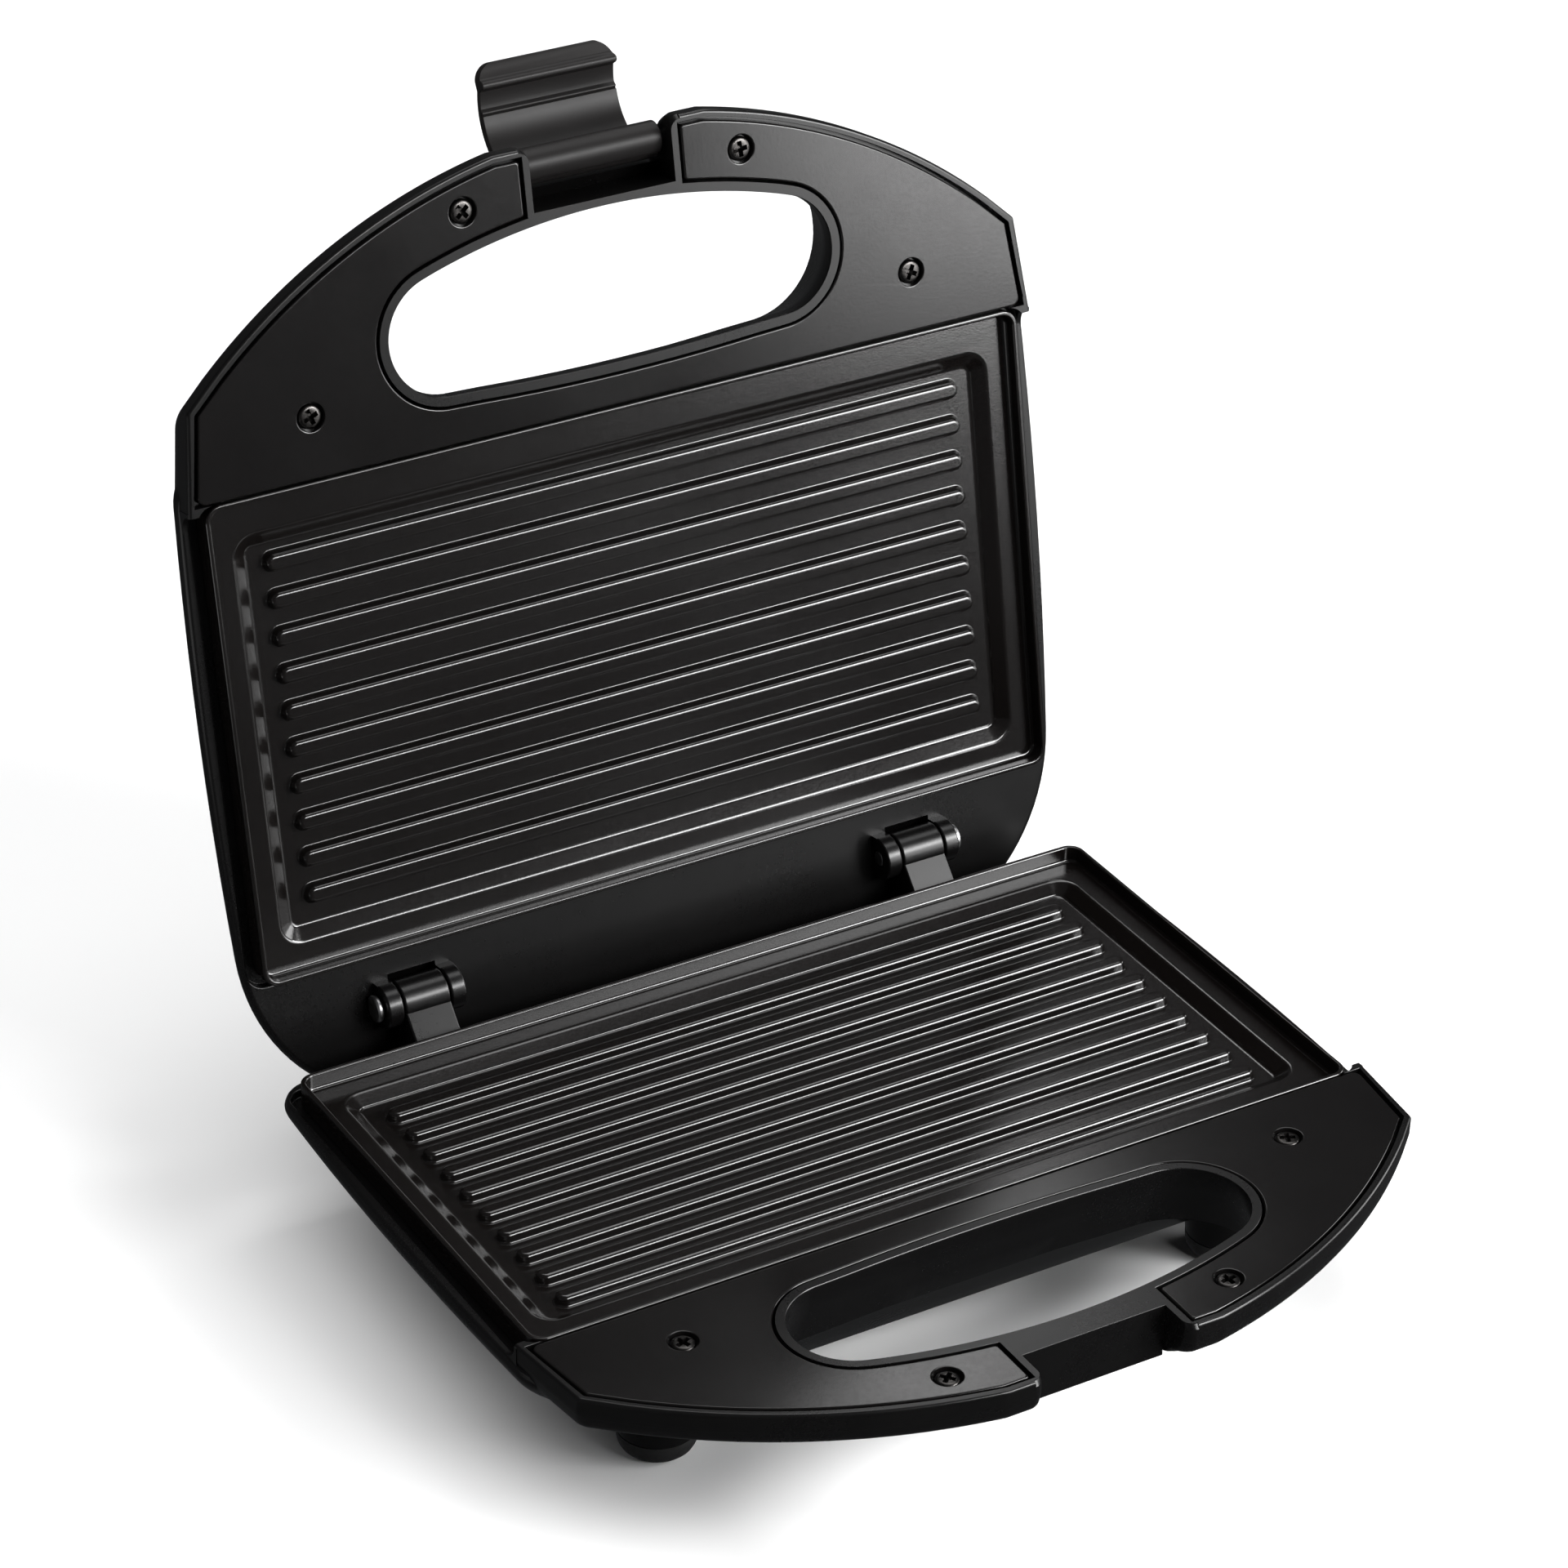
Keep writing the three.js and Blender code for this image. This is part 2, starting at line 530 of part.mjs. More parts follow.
function foot(x, u) {
  const { radius, sole } = FOOT;
  const profile = [[0, 0], [sole, 0], [radius - 1.7, 0.6], [radius - 0.5, 1.8], [radius, 3.6],
    [radius, PARTING_HEIGHT - BOWL.depth - GAP], [0, PARTING_HEIGHT - BOWL.depth - GAP]];
  return turned(profile.map(([r, rise]) => [r, PARTING_HEIGHT - rise]), x, u);
}

// The cord inlet's bush, along y through the base's back wall.
function bushSolid(flange, barrel, bore, reach) {
  const profile = [[bore, -2], [flange - 0.8, -2], [flange, -1], [flange, 0], [barrel, 0],
    [barrel, reach], [bore, reach], [bore, -2]].map(([r, t]) => new THREE.Vector2(r, t));
  const geometry = new THREE.LatheGeometry(bore > 0 ? profile : profile.slice(0, -1), 16);
  geometry.rotateX(Math.PI).translate(INLET.x, -INLET.wallU, -INLET.depth);
  return toSolid(geometry);
}

function hingePin(side) {
  const reach = LUG.width / 2 + LUG.play + LUG.cheek;
  const inner = side * (LUG.x - reach);
  const face = side * (LUG.x + reach + GAP);
  const shank = axle(LUG.pin, inner, face + side, 0, HINGE_RISE);
  return join(shank, axle(LUG.head, face, face + side * 1.6, 0, HINGE_RISE));
}

// ---- lid fittings ------------------------------------------------------------------------

function lampLens(x) {
  const top = BOWL.depth - WALL - 1.5;
  const crown = BOWL.depth + 1.5;
  return turned([[0, crown], [LAMP.lens * 0.6, crown - 0.3], [LAMP.lens, crown - 1.2],
    [LAMP.lens, top], [0, top]], x, LAMP.u);
}

function lamp(x) {
  const bottom = BOWL.depth - WALL - 2;
  return turned([[0, bottom], [LAMP.radius * 0.6, bottom], [LAMP.radius, bottom - 1.5],
    [LAMP.radius, bottom - 9], [0, bottom - 9]], x, LAMP.u, 10);
}

// The latch, drawn swung back beside the lid's edge, in (v, w) about its pivot:
// v forward and w away from the plate. Barrel, curved arm, hook lip and thumb tab.
function latch() {
  const { arcV, arcW, inner, relief, outer, halfWidth } = LATCH;
  const along = (radius, from, to, steps) => Array.from({ length: steps + 1 }, (_, i) => {
    const angle = (from + ((to - from) * i) / steps) * RAD;
    return [arcV + radius * Math.cos(angle), arcW + radius * Math.sin(angle)];
  });
  const arm = [
    ...along(inner, 190, 94, 8), ...along(relief, 91, 70, 2),
    [15.9, 15.4], [17.2, 15.5], [17.6, 17.3], [20.6, 18.7], [20.2, 20.4],
    ...along(outer, 76, 180, 9), [-3.4, -1.8],
  ];
  const strap = slab(arm, -halfWidth, halfWidth);
  const ends = prism(roundedRect(halfWidth, -12, 20.7, LATCH.tabCorner), -30, 30);
  const barrel = axle(LATCH.barrel, -halfWidth, halfWidth, 0, 0);
  const whole = join(strap.intersect(ends), barrel);
  return cut(whole, axle(LATCH.pin + GAP, -30, 30, 0, 0, 12));
}

// ---- assembly ----------------------------------------------------------------------------

const SCREW_TWISTS = [20, 65, 40, 5];

// The sign of a half's right-hand side in its own frame: the lid's is turned over.
const RIGHT = { base: 1, lid: -1 };

function addPanelScrews(group, prefix) {
  const right = RIGHT[prefix];
  const places = PANEL.screws.flatMap(([x, u]) => [[-x * right, u], [x * right, u]]);
  const names = ['rear_left', 'rear_right', 'front_left', 'front_right'];
  places.forEach(([x, u], i) => {
    const screw = panHeadScrew(3, FACE + 0.3, PANEL.screwLength, x, u, SCREW_TWISTS[i]);
    group.add(toMesh(`${prefix}_panel_screw_${names[i]}`, screw, BLACK_STEEL));
  });
}

// A screw driven from below, with its head at the given depth.
function risingScrew(headDepth, length, x, u) {
  const screw = panHeadScrew(3.2, 0, length, 0, 0, 30);
  return screw.rotate([180, 0, 0]).translate([x, -u, -headDepth]);
}

function addHeatingParts(group, prefix, screwHoles) {
  group.add(toMesh(`${prefix}_grill_plate`, grillPlate(), NON_STICK));
  group.add(toMesh(`${prefix}_heating_element`, heatingElement(), STEEL));
  group.add(toMesh(`${prefix}_heat_shield`, heatShield(screwHoles), ALUMINISED));
  group.add(toMesh(`${prefix}_thermostat`, thermostat(), CERAMIC));
}

function plateScrewPlaces(prefix) {
  const x = BOSS.x * RIGHT[prefix];
  return [{ side: 'left', x: -x, u: BOSS.u }, { side: 'right', x, u: BOSS.u }];
}

function addPlateScrews(group, prefix) {
  const headDepth = SHIELD.floor + SHIELD.sheet + GAP + 1.5;
  for (const { side, x, u } of plateScrewPlaces(prefix)) {
    const screw = risingScrew(headDepth, 8, x, u);
    group.add(toMesh(`${prefix}_plate_screw_${side}`, screw, STEEL));
  }
}

function makeBase() {
  const base = new THREE.Group();
  base.add(toMesh('base_shell', baseShell(), BLACK_PLASTIC));
  base.add(toMesh('base_handle_panel', handlePanel(), PANEL_PLASTIC));
  addPanelScrews(base, 'base');
  addHeatingParts(base, 'base', [...plateScrewPlaces('base'), ...bottomWells()]);
  addPlateScrews(base, 'base');
  base.add(toMesh('thermal_fuse', thermalFuse(), STEEL));
  base.add(toMesh('terminal_block', terminalBlock(), CERAMIC));
  base.add(toMesh('cord_inlet_bush', bushSolid(INLET.flange, INLET.barrel, INLET.bore, 6), RUBBER));
  base.add(toMesh('base_lead_sleeve', leadSleeve([[-18, 68, 27], [-30, 66, 26], [-55, 50, 24],
    [-62, 34, 22.5], [-62, 19, 22]]), GLASS_SLEEVE));
  for (const end of ['front', 'rear']) {
    const [x, u] = FOOT[end];
    base.add(toMesh(`foot_${end}_left`, foot(-x, u), RUBBER));
    base.add(toMesh(`foot_${end}_right`, foot(x, u), RUBBER));
  }
  const corners = ['rear_left', 'rear_right', 'front_left', 'front_right'];
  bottomWells().forEach(({ x, u }, i) => {
    const screw = risingScrew(WELL.head + GAP + 1.5, 12, x, u);
    base.add(toMesh(`bottom_screw_${corners[i]}`, screw, BLACK_STEEL));
  });
  base.add(toMesh('hinge_pin_left', hingePin(-1), STEEL));
  base.add(toMesh('hinge_pin_right', hingePin(1), STEEL));
  return base;
}

// Drawn in the half frame; the assembly turns it over.
function makeLidHalf() {
  const lid = new THREE.Group();
  lid.add(toMesh('lid_shell', lidShell(), BLACK_PLASTIC));
  lid.add(toMesh('lid_handle_panel', handlePanel(), PANEL_PLASTIC));
  addPanelScrews(lid, 'lid');
  addHeatingParts(lid, 'lid', plateScrewPlaces('lid'));
  addPlateScrews(lid, 'lid');
  lid.add(toMesh('lid_lead_sleeve', leadSleeve([[58, 10, 20], [56, 22, 22.5], [45, 40, 24],
    [28, 58, 24], [12, 68, 24]]), GLASS_SLEEVE));
  lid.add(toMesh('power_lamp', lamp(LAMP.x), NEON_GLASS));
  lid.add(toMesh('ready_lamp', lamp(-LAMP.x), NEON_GLASS));
  lid.add(toMesh('power_lamp_lens', lampLens(LAMP.x), RED_LENS));
  lid.add(toMesh('ready_lamp_lens', lampLens(-LAMP.x), GREEN_LENS));
  const pin = axle(LATCH.pin, -23.5, 23.5, LATCH.u, -LATCH.rise, 12);
  lid.add(toMesh('latch_pin', pin, STEEL));
  return lid;
}

const press = new THREE.Group();

const base = makeBase();
base.position.set(0, HINGE_Y, PARTING_HEIGHT);
press.add(base);

const lidSwing = new THREE.Group();
lidSwing.position.set(0, HINGE_Y, PARTING_HEIGHT + HINGE_RISE);
lidSwing.rotation.x = -OPEN_ANGLE * RAD;
press.add(lidSwing);

const lidHalf = makeLidHalf();
lidHalf.position.z = -HINGE_RISE;
lidHalf.rotation.y = Math.PI;
lidSwing.add(lidHalf);

const latchMesh = toMesh('latch', latch(), BLACK_PLASTIC);
latchMesh.position.set(0, -LATCH.u, LATCH.rise - HINGE_RISE);
lidSwing.add(latchMesh);

export default press;
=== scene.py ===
"""Looks for the two-slice panini press: fine meshes over the CAD frame, materials and light.

Pieces are built in millimetres in each half's own frame: x across, u forward of the hinge and
depth down from the plane where the halves meet. A matrix then puts them into the shared frame.
"""
import json
import math

import bmesh
import bpy
from mathutils import Matrix, Vector


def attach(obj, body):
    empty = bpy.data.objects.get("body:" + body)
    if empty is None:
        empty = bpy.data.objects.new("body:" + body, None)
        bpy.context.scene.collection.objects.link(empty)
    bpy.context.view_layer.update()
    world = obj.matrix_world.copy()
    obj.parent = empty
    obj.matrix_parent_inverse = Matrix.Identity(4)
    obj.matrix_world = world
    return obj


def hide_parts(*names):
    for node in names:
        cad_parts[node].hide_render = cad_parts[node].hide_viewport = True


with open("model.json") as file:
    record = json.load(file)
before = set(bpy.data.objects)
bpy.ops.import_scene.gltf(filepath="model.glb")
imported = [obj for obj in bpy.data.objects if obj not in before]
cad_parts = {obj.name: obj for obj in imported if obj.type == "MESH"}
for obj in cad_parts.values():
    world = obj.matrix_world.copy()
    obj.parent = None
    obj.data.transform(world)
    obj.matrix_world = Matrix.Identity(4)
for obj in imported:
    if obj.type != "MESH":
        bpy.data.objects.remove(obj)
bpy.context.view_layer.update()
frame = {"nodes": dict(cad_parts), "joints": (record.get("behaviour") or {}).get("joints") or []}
scene = bpy.context.scene

# ---- driving dimensions, in millimetres --------------------------------------------------

MM = 0.001
RISE = 2.4  # the hinge's axis above the base's parting plane
FACE = 0.2  # depth of the panels' and plates' faces
GAP = 0.3  # clearance around fitted pieces
WALL = 2.5
BEYOND, BELOW = 215, 40  # u and depth of cutters that run out of the press

# Half widths, u at the back and front, and depths of the plate, its tray and its ribs.
PLATE_X, PLATE_BACK, PLATE_FRONT = 109.8, 13.8, 134.2
TRAY_X, TRAY_BACK, TRAY_FRONT, TRAY_SLOPE = 102.5, 21.0, 124.3, 3.2
LEDGE, FLOOR = 4.4, 7.0
RIBS, RIB_FIRST, RIB_PITCH, RIB_HALF, RIB_WIDTH, RIB_TOP = 10, 115.7, 9.3, 94.5, 4.6, 4.5
PLATE_BOSS_X, PLATE_BOSS_U = 50, 75

# The bowls. BOWL_SIDE has (depth, inset) rows.
BOWL_X, BOWL_RIM, BOWL_DEPTH, BOWL_FRONT, BOWL_CORNER = 115.48, 5.0, 36.0, 146.0, 12.0
BOWL_MOUTH, BOWL_THICKEN, BOWL_BULGE, BOWL_WIDEST = 3.8, 0.7, 3.8e-6, 82
BOWL_SIDE = [(36, 31), (33.5, 25), (28, 18), (20, 10), (12, 2.6), (7.5, 0), (5, 0.9)]
BASE_REAR = dict(back=9.0, lean=0.2, corner=(8.0, 8.0), growth=0.5)
LID_REAR = dict(back=-24.0, lean=0.75, corner=(37.0, 44.0), growth=0.0)
SEAT_GAP, SEAT_BACK, SEAT_DEPTH, SEAT_CORNER = 2.3, 1.2, 6.9, 4.5

# The handle. Its sections have (depth, inset at the nose, inset at the sides) rows.
SIDE, SHOULDER, ARC_RADIUS, ARC_U, NOSE, HANDLE_BACK = 113.8, 111.0, 156.5, 46.8, 200.79, 134.6
RIM, GROOVE, RIM_DROP, NOSE_EDGE = 1.7, 0.9, 0.1, 0.8
CORNER, CORNER_DEEP, CORNER_DEPTH = 1.2, 5.0, 6
BASE_SECTION = [(18, 24, 28), (13.7, 12.6, 7.8), (10, 4.4, 2.8), (8, 1.2, 0.9), (4.4, 0, 0)]
LID_SECTION = [(18, 24, 24), (13.7, 14, 5), (10.4, 6.5, 1.1), (8, 2.2, 0), (4.4, 0, 0)]

# The finger hole's end, front and back arcs; each screw's x, u and the depth of its boss.
FINGER = dict(side_x=44.5, side_u=161.5, side_r=16.8, front_u=22.8, front_r=162.5,
              back_u=727.2, back_r=584.0)
LIP, RING, DRAFT = 0.4, 2.4, 0.35
PANEL_THICK, PANEL_UNDER = 2.6, 3.1
PANEL_SCREWS = [(80.8, 149.6, 17.0), (37.0, 189.3, 9.2)]
SCREW_TURNS = [20, 65, 40, 5]
SCREW_HOLE, SCREW_SHANK, BOSS = 1.8, 1.5, 4

# The latch's recesses, the catch bar under the base's, and the latch itself.
RECESS_X, RECESS_WALL, RECESS_CORNER, RECESS_LIP = 18.8, 1.8, 2.6, 0.3
BASE_RECESS_U, LID_RECESS_U, LID_RECESS_FLOOR, LID_RECESS_FOOT = 191, 185.3, 9.0, 188.7
BAR_BACK, BAR_FRONT, BAR_TOP, BAR_BOTTOM, BAR_HOOK, BAR_SILL = 180.8, 192, 5, 14.8, 184.8, 13.8
LATCH_U, LATCH_RISE, LATCH_X, LATCH_BARREL = 195.0, 7.2, 18.0, 4.0
PIN_RADIUS, PIN_HALF, PIN_BOSS, PIN_BOSS_END = 1.5, 23.5, 3.9, 24.5

# Hinge lugs, feet, the base's screw wells, the lid's lamps, and the cord's inlet.
LUG_X, LUG_WIDTH, LUG_BARREL, LUG_PIN, LUG_CHEEK, LUG_PLAY = 70.0, 12.0, 5.5, 2.0, 4.0, 0.4
LUG_EDGE, PIN_HEAD = 0.5, 3.4
FOOT_FRONT, FOOT_REAR, FOOT_RADIUS, FOOT_SOLE = (77.5, 131.7), (63, 25), 9.4, 41.99
WELL_X, WELL_U, WELL_FLOOR = 38, (48, 100), 26.5
LAMP_X, LAMP_U = 11, 112
FLANGE, BARREL, BORE, REACH = 8.2, 6.2, 4, 6
FLANGE_THICK, INLET = 2, (52, -12.2, -27.5)
CORNERS = ("rear_left", "rear_right", "front_left", "front_right")

# ---- where the halves are ----------------------------------------------------------------

hinge = next(j for j in frame["joints"] if j["name"] == "lid_hinge")
HINGE = Vector(hinge["pos_m"])
OPEN = math.radians(hinge["range_deg"][1])
TO_METRES = Matrix.Scale(MM, 4)
SWING = Matrix.Translation(HINGE) @ Matrix.Rotation(-OPEN, 4, "X")
BASE = Matrix.Translation(HINGE - Vector((0, 0, RISE * MM))) @ TO_METRES
LID = SWING @ Matrix.Translation((0, 0, -RISE * MM)) @ Matrix.Rotation(math.pi, 4, "Y") @ TO_METRES
LATCH = SWING @ Matrix.Translation((0, -LATCH_U * MM, (LATCH_RISE - RISE) * MM)) @ TO_METRES

# ---- solids ------------------------------------------------------------------------------


def fix_normals(mesh):
    """Turns every face outwards."""
    work = bmesh.new()
    work.from_mesh(mesh)
    bmesh.ops.recalc_face_normals(work, faces=work.faces)
    work.to_mesh(mesh)
    work.free()


def solid(verts, faces):
    mesh = bpy.data.meshes.new("solid")
    mesh.from_pydata(verts, [], faces)
    fix_normals(mesh)
    body = bpy.data.objects.new("solid", mesh)
    scene.collection.objects.link(body)
    return body


def combine(body, others, operation):
    """The body after one boolean with each of the others, which are used up."""
    for other in others:
        step = body.modifiers.new("step", "BOOLEAN")
        step.operation = operation
        step.solver = "MANIFOLD"
        step.object = other
    graph = bpy.context.evaluated_depsgraph_get()
    mesh = bpy.data.meshes.new_from_object(body.evaluated_get(graph))
    body.modifiers.clear()
    body.data = mesh
    for other in others:
        bpy.data.objects.remove(other)
    return body


def join(body, *others):
    return combine(body, others, "UNION")


def cut(body, *others):
    return combine(body, others, "DIFFERENCE")


def keep(body, *others):
    return combine(body, others, "INTERSECT")


def quarter(radius, steps=5):
    """(inset, drop) along a rounded edge, from the face to the side."""
    angles = [math.pi / 2 * k / steps for k in range(steps + 1)]
    return [(radius * (1 - math.sin(a)), radius * (1 - math.cos(a))) for a in angles]


def flare_at(depth, radius):
    """How far an opening with a rounded mouth has widened at a depth."""
    t = min(max(depth / radius, 0), 1)
    return radius * (1 - math.sqrt(1 - (1 - t) ** 2))


def grow(outline, distance):
    """The outline moved outwards, or inwards by a negative distance."""
    ends = outline[1:] + outline[:1]
    area = sum(x * q - p * u for (x, u), (p, q) in zip(outline, ends))
    side = math.copysign(distance, area * distance)
    moved = []
    for (xa, ua), (x, u), (xb, ub) in zip(outline[-1:] + outline[:-1], outline, ends):
        first = Vector((u - ua, xa - x)).normalized()
        second = Vector((ub - u, x - xb)).normalized()
        shift = (first + second) * (side / (1 + first.dot(second)))
        moved.append((x + shift.x, u + shift.y))
    return moved


def loft(levels):
    """A closed body through (depth, outline) levels with equal point counts."""
    count = len(levels[0][1])
    verts = [(x, -u, -depth) for depth, outline in levels for x, u in outline]
    last = len(verts) - count
    faces = [list(range(count)), list(range(last, last + count))]
    for start in range(0, last, count):
        for k in range(count):
            a, b = start + k, start + (k + 1) % count
            faces.append((a, b, b + count, a + count))
    return solid(verts, faces)


def puck(outline, top, bottom, round_top=0.0, round_bottom=0.0):
    """An upright prism with rounded edges."""
    low = [(bottom - drop, grow(outline, -inset)) for inset, drop in quarter(round_bottom)]
    high = [(top + drop, grow(outline, -inset)) for inset, drop in reversed(quarter(round_top))]
    return loft((low if round_bottom else [(bottom, outline)])
                + (high if round_top else [(top, outline)]))


def pocket(outline, mouth, floor, flare=0.0, fillet=0.0):
    """A cutter for an opening with a rounded mouth and a filleted floor."""
    low = [(floor - drop, grow(outline, -inset)) for inset, drop in quarter(fillet)]
    high = [(mouth + drop, grow(outline, inset)) for inset, drop in reversed(quarter(flare))]
    return loft((low if fillet else [(floor, outline)])
                + (high if flare else [])
                + [(mouth - 3, grow(outline, flare))])


def lathe(profile, place, segments=48):
    """A closed body turned about z from (radius, height) pairs."""
    verts, rows = [], []
    for radius, height in profile:
        if radius < 1e-6:
            rows.append([len(verts)] * segments)
            verts.append(place @ Vector((0, 0, height)))
            continue
        rows.append(list(range(len(verts), len(verts) + segments)))
        for k in range(segments):
            angle = math.tau * k / segments
            at = Vector((radius * math.cos(angle), radius * math.sin(angle), height))
            verts.append(place @ at)
    faces = []
    for low, high in zip(rows, rows[1:]):
        for k in range(segments):
            n = (k + 1) % segments
            loop = list(dict.fromkeys((low[k], low[n], high[n], high[k])))
            if len(loop) > 2:
                faces.append(loop)
    return solid(verts, faces)


def turned(profile, x=0.0, u=0.0, segments=48):
    """An upright turned body from (radius, depth) pairs."""
    flipped = [(radius, -depth) for radius, depth in profile]
    return lathe(flipped, Matrix.Translation((x, -u, 0)), segments)


def post(radius, top, bottom, x, u, segments=32):
    """An upright cylinder."""
    return turned([(0, bottom), (radius, bottom), (radius, top), (0, top)], x, u, segments)


ACROSS = Matrix.Rotation(math.pi / 2, 4, "Y")


def axle(radius, xa, xb, u, z, edge=0.0, segments=48):
    """A round bar along x, with rounded ends."""
    x0, x1 = sorted((xa, xb))
    start = [(radius - inset, x0 + drop) for inset, drop in quarter(edge)]
    end = [(radius - inset, x1 - drop) for inset, drop in reversed(quarter(edge))]
    rim = start + end if edge else [(radius, x0), (radius, x1)]
    return lathe([(0, x0), *rim, (0, x1)], Matrix.Translation((0, -u, z)) @ ACROSS, segments)


def slab(profile, xa, xb, edge=0.0):
    """A bar across the press from a (u, z) profile, with rounded ends."""
    x0, x1 = sorted((xa, xb))
    start = [(x0 + drop, grow(profile, -inset)) for inset, drop in quarter(edge)]
    end = [(x1 - drop, grow(profile, -inset)) for inset, drop in reversed(quarter(edge))]
    body = loft(start + end if edge else [(x0, profile), (x1, profile)])
    for vert in body.data.vertices:
        u, z, x = vert.co.x, -vert.co.y, -vert.co.z
        vert.co = (x, -u, z)
    fix_normals(body.data)
    return body


# ---- outlines ----------------------------------------------------------------------------


def arc(x, u, a, b, start, end, steps):
    """Points along an ellipse arc between two angles in degrees, both ends included."""
    angles = [math.radians(start + (end - start) * k / steps) for k in range(steps + 1)]
    return [(x + a * math.cos(t), u + b * math.sin(t)) for t in angles]


def symmetric(half):
    """A right-hand half outline joined with its mirror image."""
    return half + [(-x, u) for x, u in reversed(half)]


def rounded_rect(half_width, back, front, corner, steps=10):
    return symmetric(arc(half_width - corner, back + corner, corner, corner, -90, 0, steps)
                     + arc(half_width - corner, front - corner, corner, corner, 0, 90, steps))


def plate_outline(inset, corner):
    return rounded_rect(PLATE_X - inset, PLATE_BACK + inset, PLATE_FRONT - inset, corner)


def box_outline(x0, x1, u0, u1):
    return [(x0, u0), (x1, u0), (x1, u1), (x0, u1)]


def recess_box(back, front):
    """A rectangle as wide as the latch's recess."""
    return box_outline(-RECESS_X, RECESS_X, back, front)


def fillet(before, corner, after, radius, steps=6):
    """The points that round a corner of an outline."""
    a, c, b = Vector(before), Vector(corner), Vector(after)
    to_a, to_b = (a - c).normalized(), (b - c).normalized()
    half = to_a.angle(to_b) / 2
    reach = min(radius / math.tan(half), 0.8 * (a - c).length, 0.8 * (b - c).length)
    radius = reach * math.tan(half)
    centre = c + (to_a + to_b).normalized() * (radius / math.sin(half))
    start, end = c + to_a * reach - centre, c + to_b * reach - centre
    turn = start.angle_signed(end)
    points = []
    for k in range(steps + 1):
        spin = Matrix.Rotation(-turn * k / steps, 2)
        points.append(tuple(centre + spin @ start))
    return points


def curve(rows):
    """Rows of numbers joined by a Catmull-Rom curve, which passes through each row."""
    steps = 6
    padded = [rows[0], *rows, rows[-1]]
    out = []
    for p0, p1, p2, p3 in zip(padded, padded[1:], padded[2:], padded[3:]):
        for k in range(steps):
            t = k / steps
            out.append(tuple(
                b + t * ((c - a) / 2 + t * ((a - 2.5 * b + 2 * c - d / 2)
                                            + t * (1.5 * (b - c) + (d - a) / 2)))
                for a, b, c, d in zip(p0, p1, p2, p3)))
    return out + [tuple(rows[-1])]


def between(rows, depth):
    """A row of a table sorted by falling depth, at any depth."""
    for (d0, *low), (d1, *high) in zip(rows, rows[1:]):
        if d1 <= depth <= d0:
            t = (d0 - depth) / (d0 - d1)
            return [a + t * (b - a) for a, b in zip(low, high)]
    return list(rows[0][1:] if depth > rows[0][0] else rows[-1][1:])


def handle_outline(inset, side_inset, back, corner=CORNER):
    """The handle's outer edge: side, rounded shoulder, arc and straight nose."""
    radius = ARC_RADIUS - inset
    shoulder = SHOULDER - side_inset
    start = math.degrees(math.acos(shoulder / radius))
    end = math.degrees(math.asin((NOSE - inset - ARC_U) / radius))
    points = arc(0, ARC_U, radius, radius, start, end, 40)
    side = (SIDE - side_inset, back)
    return symmetric([side, *fillet(side, points[0], points[4], corner), *points[4:]])


def finger_half(inset, bar_inset, cut_x=0.0):
    """Right half of the finger hole, from its front bar round to the middle of its back."""
    f = FINGER
    back_angle = math.degrees(math.atan2(f["side_u"] - f["back_u"], f["side_x"]))
    front_angle = math.degrees(math.atan2(f["side_u"] - f["front_u"], f["side_x"]))
    steps = 14
    first = math.degrees(math.acos(cut_x / (f["front_r"] - bar_inset)))
    points = []
    for k in range(steps):
        angle = first + (front_angle - first) * k / steps
        share = (angle - front_angle) / (90 - front_angle)
        radius = f["front_r"] - (inset + (bar_inset - inset) * share)
        points += arc(0, f["front_u"], radius, radius, angle, angle, 1)[:1]
    side = f["side_r"] - inset
    points += arc(f["side_x"], f["side_u"], side, side, front_angle, back_angle, 28)
    radius = f["back_r"] - inset
    middle = -90 + math.degrees(math.asin(f["side_x"] / f["back_r"]))
    back = arc(0, f["back_u"], radius, radius, middle, -90, 6)
    return points + back[1:]


def finger_outline(inset, bar_inset=None):
    """The whole finger hole, with one point at the middle of its back and of its bar."""
    half = finger_half(inset, inset if bar_inset is None else bar_inset)
    half = [(max(x, 0.0), u) for x, u in half]
    return half[1:-1] + [half[-1]] + [(-x, u) for x, u in reversed(half[1:-1])] + [half[0]]


SIDE_CURVE = curve(BOWL_SIDE)


def bowl_outline(rear, inset, wall=0.0, limit=1e9):
    """One plan outline of a bowl, with its long sides bowed out a little."""
    half = BOWL_X - inset - wall
    back = rear["back"] + rear["lean"] * inset + wall
    nose = min(BOWL_FRONT - 0.72 * inset - wall, limit)
    a, b = (r + rear["growth"] * inset for r in rear["corner"])
    points = arc(half - a, back + b, a, b, -90, 0, 20)
    for k in range(1, 10):
        points.append((half, back + b + k / 10 * (nose - BOWL_CORNER - back - b)))
    points += arc(half - BOWL_CORNER, nose - BOWL_CORNER, BOWL_CORNER, BOWL_CORNER, 0, 90, 12)
    return symmetric([(x * (1 - BOWL_BULGE * (BOWL_WIDEST - u) ** 2), u) for x, u in points])


# ---- the moulded halves ------------------------------------------------------------------


def bowl_body(rear):
    """A bowl from its flat bottom up to its rounded rim."""
    edge = 1.1
    flat = between(SIDE_CURVE, BOWL_RIM + edge)[0]
    levels = [(d, bowl_outline(rear, inset)) for d, inset in SIDE_CURVE
              if d > BOWL_RIM + edge + 0.1]
    levels += [(BOWL_RIM + drop, bowl_outline(rear, flat, inset))
               for inset, drop in reversed(quarter(edge))]
    return loft(levels)


